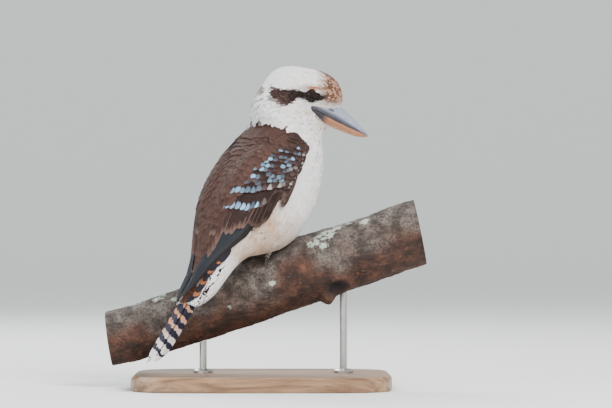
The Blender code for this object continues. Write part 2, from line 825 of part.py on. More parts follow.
SECONDARY_LENGTH, SECONDARY_HALF = 46, 5.8
SECONDARY_BEND = ((0, 11), (26, 4), (46, 0))  # mm from the root, and how much further out than the tip
TERTIAL_TIPS = ((-147, 16), (-158, 11), (-168, 6.5))
TERTIAL_LENGTH, TERTIAL_HALF = 66, 5.6
TERTIAL_BEND = ((0, 9), (36, 3), (66, 0))
WING_INNER = 0.5  # mm from the middle of the back, past which no feather of the wing reaches


def make_wing(name, side):
    def place(along, across, lift):
        return bed(along * MM, side * max(across, WING_INNER) * MM, lift * MM)

    def bent(along, across, length, bend):
        return [(along + length - reach, across + out) for reach, out in bend]

    vanes = []
    for k, tip in enumerate(PRIMARY_TIPS):
        path, lifts = [], []
        for share in np.linspace(0, 1, 6):
            along = PRIMARY_ROOT + (tip - PRIMARY_ROOT) * share
            narrow = 1 - 0.45 * share
            inset = (PRIMARY_HALF + 0.5 + PRIMARY_STEP_IN * k) * narrow
            path.append((along, lower_edge(along) - inset))
            lifts.append(wing_floor(along) + 0.2 + PRIMARY_STEP_UP * k * min(1, 0.5 + share))
        vanes.append(vane(place, path, PRIMARY_HALF * 0.85, lifts, 0.6, LONG_VANE, even=True))
    for along, across in SECONDARY_TIPS:
        path = bent(along, across, SECONDARY_LENGTH, SECONDARY_BEND)
        base = wing_floor(along) + 2.0
        lifts = (base - 0.6, base + 1.4, base + 2.0)
        vanes.append(vane(place, path, SECONDARY_HALF, lifts, 2.0, LONG_VANE))
    for along, across in TERTIAL_TIPS:
        path = bent(along, across, TERTIAL_LENGTH, TERTIAL_BEND)
        base = wing_floor(along) + 1.6
        vanes.append(vane(place, path, TERTIAL_HALF, (2.6, base + 2.6, base + 2.2), 1.8, LONG_VANE))
    for row, (tips, length, half, outwards) in TILE_ROWS.items():
        more = HIGH_TILE_RISE if row.startswith(HIGH_TILES) else 0
        for along, across in tips:
            root = onto_bed(along + length, across + outwards)
            low = bed_top(*root) - TILE_SUNK
            high = bed_top(along + 4, across) + TILE_RISE + more
            vanes.append(vane(place, [root, (along, across)], half, (low, high), TILE_TILT, SHORT_VANE))
    return join_pieces(wing_bed(place), vanes, name)


# The tail: its core is the skin's run down to the feathers' roots
TAIL_CORE_END = -204 * MM
RECTRIX_TIPS = (-271, -270, -269, -266, -262)  # from the middle pair out
RECTRIX_ROOT, RECTRIX_HALF = -192, 5.0
RECTRIX_INNER, RECTRIX_STEP_OUT, RECTRIX_STEP_UNDER = 5.2, 0.9, 1.25
TOP_RECTRIX = (1.8, -0.8)  # the one feather that lies over the middle: how far out, and how deep
UNDER_COVERT_TIPS = ((-200, 0), (-197, 7), (-197, -7), (-190, 14), (-190, -14), (-182, 20), (-182, -20))
UPPER_COVERT_TIPS = ((-202, 0), (-198, 8), (-198, -8))
TAIL_COVERT_LENGTH, TAIL_COVERT_HALF = 26, 5.5


def underside(along, across, lift):
    """A point over the skin, by the way round from the middle of the belly."""
    angles, arcs = arc_at(along)
    angle = math.copysign(float(np.interp(arcs[-1] - abs(across), arcs, angles)), across)
    return skin(along, angle, lift)


def make_tail():
    core = skin_piece("tail_core", TAIL_CORE_END, TORSO_LOW, 7, high_gap=SEAM)
    vanes = []
    for side in (1, -1):
        for k, tip in enumerate(RECTRIX_TIPS):
            depth = 0.6 + RECTRIX_STEP_UNDER * k
            out = RECTRIX_INNER + RECTRIX_STEP_OUT * k
            if side > 0 and k == 0:
                out, depth = TOP_RECTRIX

            def place(along, across, lift, side=side, depth=depth):
                centre, _, forward, right = slice_frame(along * MM)
                return centre + forward * (depth - lift) * MM + right * (side * across * MM)

            path = [(RECTRIX_ROOT, out), (tip, out)]
            vanes.append(vane(place, path, RECTRIX_HALF, (0, 0), 0.4, LONG_VANE, even=True))
    for above, tips in ((False, UNDER_COVERT_TIPS), (True, UPPER_COVERT_TIPS)):
        face = bed if above else underside

        def lay(along, across, lift, face=face):
            return face(along * MM, across * MM, lift * MM)

        for along, across in tips:
            root = (min(along + TAIL_COVERT_LENGTH, -164), across * 1.05)
            path = [root, (along, across)]
            vanes.append(vane(lay, path, TAIL_COVERT_HALF, (-1.0, 0.0, 0.5), 0.0, SHORT_VANE))
    return join_pieces(core, vanes, "tail")


def paint(obj, finish):
    obj.data.materials.clear()
    obj.data.materials.append(finish)
    obj.data.shade_smooth()
    obj.data.set_sharp_from_angle(angle=math.radians(40))


def build():
    clear_scene()
    white = material("white_feather", (0.84, 0.80, 0.74), 0.8)
    brown = material("brown_feather", (0.13, 0.075, 0.05), 0.7)
    rufous = material("rufous_feather", (0.45, 0.2, 0.09), 0.7)
    slate = material("slate_bill", (0.2, 0.22, 0.26), 0.35)
    horn = material("pale_bill", (0.62, 0.42, 0.26), 0.4)
    eye = material("eye", (0.02, 0.012, 0.01), 0.08)
    leg = material("leg", (0.33, 0.3, 0.25), 0.6)
    bark = material("bark", (0.19, 0.13, 0.09), 0.9)
    wood = material("stand_wood", (0.3, 0.19, 0.11), 0.5)
    metal = material("stand_metal", (0.35, 0.34, 0.33), 0.35, 1.0)

    branch_cutter = branch_solid("branch_cutter", SEAM)
    branch_cutter.hide_render = True
    branch_cutter.display_type = "WIRE"

    torso = skin_piece("torso", TORSO_LOW, TORSO_HIGH, 18)
    legs_out = leg_cutters()
    cut_away(torso, [branch_cutter, *legs_out])
    remove(legs_out)
    paint(torso, white)
    paint(skin_piece("neck", TORSO_HIGH, HEAD_LOW, 4, low_gap=SEAM, high_gap=SEAM), white)
    paint(make_head(), white)
    upper, lower = make_bill()
    paint(upper, slate)
    paint(lower, horn)
    for name, side in (("eye_right", 1), ("eye_left", -1)):
        paint(ball(name, eye_centre(side), EYE_RADIUS, 2), eye)
    paint(make_wing("wing_right", 1), brown)
    paint(make_wing("wing_left", -1), brown)
    paint(make_tail(), rufous)
    for name in FOOT_PLACES:
        paint(make_leg(name, branch_cutter), leg)
    paint(make_perch(), bark)
    paint(make_base(), wood)
    for name, x in ROD_PLACES.items():
        paint(make_rod(name, x, branch_cutter), metal)
    remove([branch_cutter])


build()
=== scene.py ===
"""A laughing kookaburra at life size on a cut length of branch, over a plain display stand.

Lengths are in metres, or in mm where a name or comment says so. +Z is up, the bill points to +X, and
the camera looks along +Y at the bird's right side.
"""

import math

import bpy
import numpy as np
from mathutils import Matrix, Vector
from mathutils.bvhtree import BVHTree


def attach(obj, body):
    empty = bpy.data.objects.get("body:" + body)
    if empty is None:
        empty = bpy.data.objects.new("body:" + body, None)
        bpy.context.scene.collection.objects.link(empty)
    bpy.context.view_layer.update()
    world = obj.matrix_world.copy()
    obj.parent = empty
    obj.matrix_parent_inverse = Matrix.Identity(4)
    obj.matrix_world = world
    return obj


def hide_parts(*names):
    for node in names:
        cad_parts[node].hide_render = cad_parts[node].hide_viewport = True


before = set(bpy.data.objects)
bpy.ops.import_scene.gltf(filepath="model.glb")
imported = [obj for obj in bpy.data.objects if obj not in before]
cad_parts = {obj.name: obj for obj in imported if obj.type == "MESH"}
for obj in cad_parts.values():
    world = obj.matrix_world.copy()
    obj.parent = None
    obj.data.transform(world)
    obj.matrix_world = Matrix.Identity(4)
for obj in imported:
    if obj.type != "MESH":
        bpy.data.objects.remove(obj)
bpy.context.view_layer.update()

# The camera stands level with the middle of the bird, far enough away that the view is nearly flat.
VIEW_WIDTH, VIEW_DISTANCE = 0.661, 3.4
camera_data = bpy.data.cameras.new("camera")
camera_data.sensor_width = 36
camera_data.lens = camera_data.sensor_width * VIEW_DISTANCE / VIEW_WIDTH
camera_data.clip_end = 50
camera = bpy.data.objects.new("camera", camera_data)
camera.location = (0.0475, -VIEW_DISTANCE, 0.1987)
camera.rotation_euler = (math.radians(90), 0, 0)
bpy.context.scene.collection.objects.link(camera)
bpy.context.scene.camera = camera

# The floor is one pale sheet, flat under the stand and curved up all round, as a studio's paper is.
FLOOR_FLAT, FLOOR_BEND, FLOOR_TOP, FLOOR_SIDES = 5.0, 2.0, 3.2, 72


def build_mesh(name, points, faces, material):
    mesh = bpy.data.meshes.new(name)
    mesh.from_pydata(np.asarray(points, float).tolist(), [], faces)
    mesh.materials.append(material)
    mesh.shade_smooth()
    made = bpy.data.objects.new(name, mesh)
    bpy.context.scene.collection.objects.link(made)
    return made


def tube_faces(rings, sides):
    """Quads round a tube whose vertices are stored ring by ring."""
    i, k = np.meshgrid(np.arange(rings - 1), np.arange(sides), indexing="ij")
    n = (k + 1) % sides
    quads = np.stack([i * sides + k, i * sides + n, (i + 1) * sides + n, (i + 1) * sides + k], -1)
    return quads.reshape(-1, 4)


def node(tree, kind, inputs=None, **settings):
    """A shader node. inputs maps a socket's name or number to a value or to another node's output."""
    made = tree.nodes.new("ShaderNode" + kind)
    for setting, value in settings.items():
        setattr(made, setting, value)
    for socket, value in (inputs or {}).items():
        if isinstance(value, bpy.types.NodeSocket):
            tree.links.new(value, made.inputs[socket])
        else:
            made.inputs[socket].default_value = value
    return made


def math_of(tree, operation, *values):
    return node(tree, "Math", dict(enumerate(values)), operation=operation).outputs[0]


def plus(tree, a, b):
    return math_of(tree, "ADD", a, b)


def times(tree, a, b):
    return math_of(tree, "MULTIPLY", a, b)


def smooth_between(tree, value, low, high, to_low=0.0, to_high=1.0):
    inputs = {"Value": value, "From Min": low, "From Max": high, "To Min": to_low, "To Max": to_high}
    return node(tree, "MapRange", inputs, interpolation_type="SMOOTHSTEP").outputs["Result"]


def mix(tree, factor, a, b, blend="MIX"):
    """Two colours mixed. Each is another node's output, or its red, green and blue."""
    a, b = ((*colour, 1) if isinstance(colour, tuple) else colour for colour in (a, b))
    return node(tree, "Mix", {0: factor, 6: a, 7: b}, data_type="RGBA", blend_type=blend).outputs[2]


def place_on(tree, scale):
    """Where a point lies in the piece's own space, with each axis multiplied by scale."""
    place = node(tree, "TexCoord").outputs["Object"]
    return node(tree, "Mapping", {"Vector": place, "Scale": scale}).outputs[0]


def noise_at(tree, scale, detail=3.0, roughness=0.55, distortion=0.0, place=None):
    if place is None:
        place = node(tree, "TexCoord").outputs["Object"]
    inputs = {"Scale": scale, "Vector": place, "Detail": detail, "Roughness": roughness}
    inputs["Distortion"] = distortion
    return node(tree, "TexNoise", inputs).outputs["Fac"]


def new_material(name, **values):
    """A material with its Principled BSDF, whose sockets are set by name with _ for a space."""
    made = bpy.data.materials.new(name)
    made.use_nodes = True
    shader = made.node_tree.nodes["Principled BSDF"]
    for socket, value in values.items():
        shader.inputs[socket.replace("_", " ")].default_value = value
    return made, made.node_tree, shader


def relieve(shader, height, strength, depth):
    """Gives the surface fine relief, of this depth in metres."""
    tree = shader.id_data
    bump = node(tree, "Bump", {"Height": height, "Strength": strength, "Distance": depth})
    tree.links.new(bump.outputs[0], shader.inputs["Normal"])


def finish(shader, colour, *relief):
    """Gives the surface its colour and, where a height, strength and depth follow, its relief."""
    shader.id_data.links.new(colour, shader.inputs["Base Color"])
    if relief:
        relieve(shader, *relief)


floor_paper, tree, shader = new_material("floor_paper", Roughness=0.9)
finish(shader, mix(tree, noise_at(tree, 30.0), (0.84, 0.86, 0.84), (0.87, 0.885, 0.87)))
bends = np.linspace(0, math.pi / 2, 16)[1:]
profile = [(0.01, 0.0), (2.0, 0.0), (FLOOR_FLAT, 0.0)]
profile += [(FLOOR_FLAT + FLOOR_BEND * math.sin(t), FLOOR_BEND - FLOOR_BEND * math.cos(t)) for t in bends]
profile += [(FLOOR_FLAT + FLOOR_BEND, FLOOR_TOP)]
around = np.linspace(0, 2 * math.pi, FLOOR_SIDES, endpoint=False)
points = [(r * math.cos(t), r * math.sin(t), z) for r, z in profile for t in around]
faces = tube_faces(len(profile), FLOOR_SIDES)[:, ::-1].tolist() + [list(range(FLOOR_SIDES))]
build_mesh("floor", points, faces, floor_paper)


# Soft studio light: a broad lamp above the camera's right, a fill on the left, and one from behind.
def area_lamp(name, place, aim, size, power, colour=(1, 1, 1)):
    data = bpy.data.lights.new(name, "AREA")
    data.size = size
    data.energy = power
    data.color = colour
    lamp = bpy.data.objects.new(name, data)
    lamp.location = place
    lamp.rotation_euler = (Vector(aim) - Vector(place)).to_track_quat("-Z", "Y").to_euler()
    bpy.context.scene.collection.objects.link(lamp)


area_lamp("key_lamp", (1.1, -1.5, 1.7), (0, 0, 0.2), 1.0, 84, (1.0, 0.985, 0.96))
area_lamp("fill_lamp", (-1.7, -1.4, 0.7), (0, 0, 0.2), 1.4, 30, (0.95, 0.97, 1.0))
area_lamp("back_lamp", (-0.6, 1.3, 1.5), (0, 0, 0.25), 0.9, 30)
world = bpy.data.worlds.new("studio")
world.use_nodes = True
world.node_tree.nodes["Background"].inputs["Color"].default_value = (0.93, 0.96, 0.98, 1)
world.node_tree.nodes["Background"].inputs["Strength"].default_value = 0.95
bpy.context.scene.world = world

# The stand's base is a slab of oiled hardwood with its edges eased.
wood, tree, shader = new_material("oiled_wood", Roughness=0.42, Coat_Weight=0.15, Coat_Roughness=0.3)
along_grain = place_on(tree, (6.0, 60.0, 60.0))
rings = noise_at(tree, 1.6, 4.0, 0.6, 0.8, along_grain)
pores = noise_at(tree, 14.0, 2.0, 0.7, place=along_grain)
tint = mix(tree, smooth_between(tree, rings, 0.35, 0.65), (0.15, 0.075, 0.036), (0.34, 0.2, 0.11))
tint = mix(tree, smooth_between(tree, pores, 0.55, 0.75, 0.0, 0.5), tint, (0.09, 0.045, 0.02))
finish(shader, tint, pores, 0.15, 0.0004)
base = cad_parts["stand_base"]
base.data.materials.clear()
base.data.materials.append(wood)

# Two rods of brushed steel, each with a collar, carry the branch.
steel, tree, shader = new_material("brushed_steel", Metallic=1.0, Roughness=0.32)
brushed = noise_at(tree, 1.0, place=place_on(tree, (40.0, 40.0, 900.0)))
finish(shader, mix(tree, brushed, (0.36, 0.355, 0.35), (0.52, 0.515, 0.5)))
tree.links.new(smooth_between(tree, brushed, 0.2, 0.8, 0.24, 0.42), shader.inputs["Roughness"])
for name in ("stand_rod_left", "stand_rod_right"):
    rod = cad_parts[name]
    rod.data.materials.clear()
    rod.data.materials.append(steel)

# The perch is a cut length of living branch: rough bark, grey above and red-brown below, with painted
# light on its top and painted shade beneath, pale lichen, a dark knot beside a broken twig's stump, and a
# sawn face at each end.
MM = 0.001
BRANCH_DEPTH = 12 * MM
# The branch's place, height and radius, from end to end, in mm
BRANCH_LINE = np.array(
    [
        (-166, 51, 29.5),
        (-121, 64, 30.5),
        (-67, 81.5, 31.5),
        (-13, 102.5, 35),
        (41, 125.5, 37.5),
        (74, 136, 36.5),
        (127, 152.5, 36),
        (171, 170.5, 36),
    ]
)


def unit(vectors):
    return vectors / np.maximum(np.linalg.norm(vectors, axis=-1, keepdims=True), 1e-12)


def speckle(points, size, seed):
    """Smooth random values from 0 to 1 over space, with lumps of about this size."""
    table = np.random.default_rng(seed).random((32, 32, 32))
    scaled = np.asarray(points) / size
    cell = np.floor(scaled).astype(int)
    inside = scaled - cell
    inside = inside * inside * (3 - 2 * inside)
    total = np.zeros(scaled.shape[:-1])
    for corner in np.ndindex(2, 2, 2):
        weight = np.prod([inside[..., i] if corner[i] else 1 - inside[..., i] for i in range(3)], axis=0)
        at = [(cell[..., i] + corner[i]) % 32 for i in range(3)]
        total += weight * table[tuple(at)]
    return total


def branch_place(x, turn, lift):
    """Points over the branch: x along it, and turn from its top towards the far side."""
    xs, zs, radii = BRANCH_LINE.T * MM
    step = 20 * MM
    height = np.interp(x, xs, zs)
    low = (np.interp(x - step, xs, zs) + height) / 2
    high = (np.interp(x + step, xs, zs) + height) / 2
    along = unit(np.stack([np.full_like(x, step), np.zeros_like(x), high - low], -1))
    above = np.stack([-along[..., 2], along[..., 1], along[..., 0]], -1)
    middle = np.stack([x, np.full_like(x, BRANCH_DEPTH), (low + high) / 2], -1)
    outward = above * np.cos(turn)[..., None] + np.array([0, 1, 0]) * np.sin(turn)[..., None]
    radius = np.interp(x, xs, radii)
    return middle + outward * (radius + lift)[..., None]


def hump(value, middle, width):
    """1 where value is middle, falling off smoothly to both sides."""
    return np.exp(-(((value - middle) / width) ** 2))


def point_values(obj, name, values, kind="FLOAT"):
    """Stores one value, vector or colour for each vertex, under name."""
    field = {"FLOAT": "value", "FLOAT_VECTOR": "vector", "FLOAT_COLOR": "color"}[kind]
    attribute = obj.data.attributes.new(name, kind, "POINT")
    attribute.data.foreach_set(field, np.asarray(values, np.float32).ravel())


def attribute(tree, name, output="Fac"):
    return node(tree, "Attribute", attribute_name=name).outputs[output]


def branch_spot(along, degrees):
    """One point of the smooth branch, in mm along it and degrees from its top."""
    return branch_place(np.array(along * MM), np.array(math.radians(degrees)), np.array(0.0))


bark, tree, shader = new_material("bark", Roughness=0.88, Specular_IOR_Level=0.3)
fine = noise_at(tree, 420.0, 4.0, 0.65)
broad = smooth_between(tree, noise_at(tree, 60.0, 4.0, 0.6), 0.35, 0.65)
# The bark's top is grey and its underside red-brown; the top is also painted lighter as painted light, and
# the underside darker as painted shade.
weather_and_top_light = smooth_between(tree, attribute(tree, "above"), 0.25, 0.8)
red = mix(tree, broad, (0.026, 0.014, 0.012), (0.095, 0.042, 0.027))
grey = mix(tree, broad, (0.05, 0.04, 0.036), (0.17, 0.145, 0.128))
tint = mix(tree, weather_and_top_light, red, grey)
tint = mix(tree, smooth_between(tree, fine, 0.35, 0.6, 0.75, 0.0), tint, (0.03, 0.019, 0.015))
tint = mix(tree, smooth_between(tree, fine, 0.62, 0.78, 0.0, 0.4), tint, (0.36, 0.25, 0.19))
rust = math_of(tree, "SUBTRACT", noise_at(tree, 95.0, 2.0), weather_and_top_light)
tint = mix(tree, smooth_between(tree, rust, 0.62, 0.75, 0.0, 0.4), tint, (0.22, 0.085, 0.042))
flakes = noise_at(tree, 1000.0, 3.0, 0.7)
crust = plus(tree, attribute(tree, "lichen"), times(tree, flakes, 1.3))
crust = smooth_between(tree, crust, 1.12, 1.28)
pale = mix(tree, noise_at(tree, 900.0), (0.22, 0.27, 0.22), (0.56, 0.60, 0.52))
tint = mix(tree, crust, tint, pale)
tint = mix(tree, attribute(tree, "knot"), tint, (0.012, 0.009, 0.012))
finish(shader, tint, plus(tree, fine, times(tree, crust, 0.35)), 0.7, 0.0011)

sawn, tree, shader = new_material("sawn_end", Roughness=0.75)
from_pith = attribute(tree, "from_pith")
rings = times(tree, noise_at(tree, 60.0), 16.0)
rings = math_of(tree, "SINE", plus(tree, times(tree, from_pith, 2900.0), rings))
tint = mix(tree, smooth_between(tree, rings, -1.0, 1.0), (0.34, 0.2, 0.105), (0.47, 0.30, 0.175))
rays = smooth_between(tree, noise_at(tree, 500.0), 0.5, 0.8, 0.0, 0.4)
tint = mix(tree, rays, tint, (0.3, 0.17, 0.09))
finish(shader, mix(tree, smooth_between(tree, from_pith, 0.0265, 0.0285), tint, (0.09, 0.05, 0.035)))

ALONG, ROUND, KNOT, STUMP = 330, 240, (72, -140), (60, -161)
x = np.linspace(BRANCH_LINE[0, 0], BRANCH_LINE[-1, 0], ALONG) * MM
turn = np.linspace(0, 2 * math.pi, ROUND, endpoint=False)
X, TURN = np.meshgrid(x, turn, indexing="ij")
flat = branch_place(X, TURN, np.zeros_like(X))
plates = speckle(flat * (0.45, 1, 1), 4.2 * MM, 1) * 0.6 + speckle(flat * (0.5, 1, 1), 1.9 * MM, 2) * 0.4
lumps = speckle(flat, 17 * MM, 3) - 0.5
fissures = np.abs(speckle(flat * (0.3, 1, 1), 3.0 * MM, 4) - 0.5) * 2
relief = (plates - 0.5) * 1.3 + lumps * 1.7 - 0.9 * (1 - fissures) ** 6
from_knot = np.linalg.norm((flat - branch_spot(*KNOT)) * (0.8, 1, 1), axis=-1) / MM
relief += 1.9 * hump(from_knot, 12, 4) - 3.2 * hump(from_knot, 0, 7.5)
from_stump = np.linalg.norm(flat - branch_spot(*STUMP), axis=-1) / MM
relief += 7.0 * np.exp(-((from_stump / 7.5) ** 3)) * (0.75 + 0.5 * speckle(flat, 3.5 * MM, 8))
# Where each patch of lichen is, and its radius in mm
patches = ((78, -32, 13), (64, -44, 9), (90, -20, 8), (72, -58, 6), (106, -12, 7))
patches += ((120, -30, 7), (-102, -20, 9), (-128, -8, 8), (-88, -44, 5), (12, -88, 4), (-36, -100, 4))
patches += ((30, 40, 14), (100, 75, 12), (-60, 50, 13), (-120, 70, 10), (150, 20, 9), (-20, 95, 9))
lichen = np.zeros_like(X)
for along, degrees, size in patches:
    distance = np.linalg.norm(flat - branch_spot(along, degrees), axis=-1) / MM
    lichen = np.maximum(lichen, 0.8 * np.clip(1.5 - distance / size, 0, 1))
lichen *= 0.3 + 1.1 * speckle(flat, 2.6 * MM, 5)
edge = np.minimum(X - X.min(), X.max() - X) / (3 * MM)
relief *= np.clip(edge, 0.15, 1)
points = branch_place(X, TURN, (relief - 0.35) * MM).reshape(-1, 3)
# How much each point faces upward: the bark paints it lighter above as painted light and darker below as
# painted shade.
above = (np.cos(TURN) * 0.5 + 0.5 + (speckle(flat, 22 * MM, 6) - 0.5) * 0.7).ravel()
faces = tube_faces(ALONG, ROUND).tolist()
pith = np.zeros(len(points))
knots = np.clip(1.5 - from_knot / 9, 0, 1).ravel() * np.clip(0.45 + speckle(points, 2.4 * MM, 7), 0, 1)
lichens = lichen.ravel()
caps = []
shares = (1.0, 0.8, 0.6, 0.4, 0.2, 0.04)
for ring, step in ((0, -1), (ALONG - 1, 1)):
    rim = points[ring * ROUND : (ring + 1) * ROUND]
    middle = rim.mean(0)
    disc = np.concatenate([middle + (rim - middle) * share for share in shares])
    quads = tube_faces(len(shares), ROUND) + len(points)
    pith = np.concatenate([pith, np.linalg.norm(disc - middle, axis=1)])
    points = np.concatenate([points, disc])
    caps += quads[:, ::-step].tolist() + [list(range(len(points) - ROUND, len(points)))[::step]]
more = np.zeros(len(points) - len(above))
above, knots, lichens = (np.concatenate([values, more]) for values in (above, knots, lichens))
perch = build_mesh("branch", points, faces + caps, bark)
perch.data.materials.append(sawn)
indices = np.zeros(len(faces) + len(caps), np.int32)
indices[len(faces) :] = 1
perch.data.polygons.foreach_set("material_index", indices)
for name, values in (("above", above), ("knot", knots), ("lichen", lichens), ("from_pith", pith)):
    point_values(perch, name, values)
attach(perch, "root")
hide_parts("perch")

# The body is one skin over torso, neck and head, under a coat of small feathers.
SHOULDER = np.array([20.5, 14, 270]) * MM
LEAN = math.radians(60)
TORSO_TURN, HEAD_TURN = math.radians(40), math.radians(-10)
NECK_START, NECK_END = -12 * MM, 46 * MM
# Each slice's place on the spine, its back, widest part and front, its half width in mm, and how full
# its front is, from tail to crown
STATIONS = np.array(
    [
        (-290, 0.0, 2.6, 4.6, 14.5, 2.2),
        (-225, -0.5, 2.6, 5.6, 13.5, 2.2),
        (-205, -1.5, 2.8, 8.0, 13.5, 2.2),
        (-193, -2.5, 3.2, 18.0, 15, 2.2),
        (-177, -3.5, 4.5, 24.5, 18, 2.2),
        (-162, -6.0, 6.0, 25.5, 21, 2.2),
        (-145.8, -12.5, 5.0, 26.0, 27, 2.2),
        (-129.6, -20.5, 5.0, 31.0, 34, 2.2),
        (-113.4, -27.0, 8.0, 47.0, 41, 2.2),
        (-97.2, -32.0, 12.0, 63.0, 46, 2.2),
        (-73.4, -35.0, 14.0, 73.0, 49, 2.2),
        (-45.4, -34.0, 14.0, 73.0, 50, 2.2),
        (-28.1, -31.5, 13.0, 68.0, 49, 2.2),
        (-8.6, -32.0, 9.0, 60.0, 45, 2.2),
        (6.5, -42.0, 3.0, 50.5, 39.5, 2.2),
        (23.8, -46.5, -5.0, 38.5, 33.5, 2.0),
        (33.5, -46.8, -9.0, 37.5, 31, 1.6),
        (44.8, -46.5, -12.0, 41.5, 30, 1.3),
        (55.7, -45.2, -10.0, 40.8, 30.5, 1.5),
        (61.6, -42.6, -8.0, 40.0, 29.5, 1.8),
        (68.5, -37.1, -4.0, 38.3, 27, 2.0),
        (75.6, -25.9, 2.0, 33.5, 21.5, 2.0),
        (80.4, -14.0, 7.0, 28.4, 16, 2.0),
        (84.2, -1.0, 10.0, 21.6, 8.5, 2.0),
        (86.0, 9.6, 10.3, 11.0, 0.6, 2.0),
    ]
)
BACK_FULLNESS = 2.25
SPINE = np.arange(-300, 100) * MM


def turn_at(along):
    share = np.clip((along - NECK_START) / (NECK_END - NECK_START), 0, 1)
    return TORSO_TURN + (HEAD_TURN - TORSO_TURN) * share * share * (3 - 2 * share)


slopes = math.cos(LEAN) * np.tan(turn_at(SPINE))
depths = np.concatenate([[0], np.cumsum((slopes[1:] + slopes[:-1]) / 2 * MM)])
SPINE_DEPTHS = depths - np.interp(0, SPINE, depths)


def curve_through(rows):
    """A function of the first column that gives the other columns, smooth and with no overshoot."""
    places, values = rows[:, 0], rows[:, 1:]
    rises = np.diff(values, axis=0) / np.diff(places)[:, None]
    slopes = np.empty_like(values)
    slopes[0], slopes[-1] = rises[0], rises[-1]
    same = rises[:-1] * rises[1:] > 0
    total = np.where(same, rises[:-1] + rises[1:], 1)
    slopes[1:-1] = np.where(same, 2 * rises[:-1] * rises[1:] / total, 0)

    def at(place):
        place = np.clip(place, places[0], places[-1])
        i = np.clip(np.searchsorted(places, place, "right") - 1, 0, len(places) - 2)
        step = (places[i + 1] - places[i])[..., None]
        t = (place - places[i])[..., None] / step
        near = (1 + 2 * t) * (1 - t) ** 2 * values[i] + t * (1 - t) ** 2 * step * slopes[i]
        far = t * t * (3 - 2 * t) * values[i + 1] + t * t * (t - 1) * step * slopes[i + 1]
        return near + far

    return at


body_sizes = curve_through(STATIONS * np.array([MM, MM, MM, MM, MM, 1]))


def slice_frame(along):
    turn = turn_at(along)
    zero = np.zeros_like(turn)
    depth = np.interp(along, SPINE, SPINE_DEPTHS)
    run = np.stack([along * math.cos(LEAN), depth, along * math.sin(LEAN)], -1)
    upward = unit(np.stack([zero + math.cos(LEAN), math.cos(LEAN) * np.tan(turn), zero + math.sin(LEAN)], -1))
    right = np.stack([np.sin(turn), -np.cos(turn), zero], -1)
    return SHOULDER + run, upward, np.cross(upward, right), right


def signed_power(value, power):
    return np.sign(value) * np.abs(value) ** power


def skin_flat(along, angle):
    """The body's outer surface. Angle 0 is the middle of the back, and a quarter turn the right."""
    along, angle = np.broadcast_arrays(np.asarray(along, float), np.asarray(angle, float))
    back, widest, front, half, point = np.moveaxis(body_sizes(along), -1, 0)
    centre, _, forward, right = slice_frame(along)
    behind = np.cos(angle) > 0
    power = 2 / np.where(behind, BACK_FULLNESS, point)
    reach = np.where(behind, widest - back, front - widest)
    ahead = widest - reach * signed_power(np.cos(angle), power)
    aside = half * signed_power(np.sin(angle), power)
    return centre + forward * ahead[..., None] + right * aside[..., None]


def skin_normal(along, angle):
    up = skin_flat(along + MM, angle) - skin_flat(along - MM, angle)
    around = skin_flat(along, angle + 0.04) - skin_flat(along, angle - 0.04)
    return unit(np.cross(around, up))


def skin(along, angle, lift):
    along, angle, lift = np.broadcast_arrays(*(np.asarray(v, float) for v in (along, angle, lift)))
    return skin_flat(along, angle) + skin_normal(along, angle) * lift[..., None]


ARC_ALONG = np.arange(-300, 87) * MM
ARC_ANGLES = np.linspace(0, math.pi, 49)
outline = skin_flat(ARC_ALONG[:, None], ARC_ANGLES[None])
steps = np.linalg.norm(np.diff(outline, axis=1), axis=2)
ARCS = np.concatenate([np.zeros((len(ARC_ALONG), 1)), np.cumsum(steps, 1)], 1)


def arcs_at(along):
    """How far over the skin each of ARC_ANGLES lies from the middle of the back."""
    place = np.clip((along - ARC_ALONG[0]) / MM, 0, len(ARC_ALONG) - 1.001)
    low = place.astype(int)
    share = (place - low)[..., None]
    return ARCS[low] * (1 - share) + ARCS[low + 1] * share


def bed(along, across, lift):
    """Points over the skin, in mm along the spine and across from the middle of the back."""
    along, across, lift = np.broadcast_arrays(*(np.asarray(v, float) for v in (along, across, lift)))
    along, across, lift = along * MM, across * MM, lift * MM
    arcs = arcs_at(along)
    way = np.clip(np.abs(across), 0, arcs[..., -1] * 0.9999)
    i = np.clip((arcs <= way[..., None]).sum(-1) - 1, 0, len(ARC_ANGLES) - 2)[..., None]
    low, high = np.take_along_axis(arcs, i, -1)[..., 0], np.take_along_axis(arcs, i + 1, -1)[..., 0]
    angle = ARC_ANGLES[i[..., 0]] + (way - low) / np.maximum(high - low, 1e-9) * ARC_ANGLES[1]
    return skin(along, np.where(across < 0, -angle, angle), lift)


def inside_polygon(x, z, corners, soft):
    """1 inside a closed line, 0 outside, with an edge this soft, all in mm."""
    nearest = np.full(np.shape(x), 1e9)
    inside = np.zeros(np.shape(x), bool)
    for (ax, az), (bx, bz) in zip(corners, corners[1:] + corners[:1]):
        share = ((x - ax) * (bx - ax) + (z - az) * (bz - az)) / ((bx - ax) ** 2 + (bz - az) ** 2)
        share = np.clip(share, 0, 1)
        nearest = np.minimum(nearest, np.hypot(x - ax - share * (bx - ax), z - az - share * (bz - az)))
        crosses = (az > z) != (bz > z)
        inside ^= crosses & (x < (bx - ax) * (z - az) / np.where(bz == az, 1e-9, bz - az) + ax)
    return np.clip(0.5 + np.where(inside, nearest, -nearest) / soft, 0, 1)


# Places on the head are given in mm ahead of this one on the spine, up the spine and to the right.
HEAD_ALONG = 47
HEAD_CENTRE = slice_frame(np.array(HEAD_ALONG * MM))[0]
HEAD_UP, HEAD_FORWARD, HEAD_RIGHT = slice_frame(np.array(NECK_END))[1:]
HEAD_FLAT = np.stack([HEAD_FORWARD, HEAD_UP, HEAD_RIGHT])


def in_head(ahead, up, aside):
    """Points on the head, in mm."""
    parts = np.stack(np.broadcast_arrays(ahead, up - HEAD_ALONG, aside), -1) * MM
    return HEAD_CENTRE + parts @ HEAD_FLAT


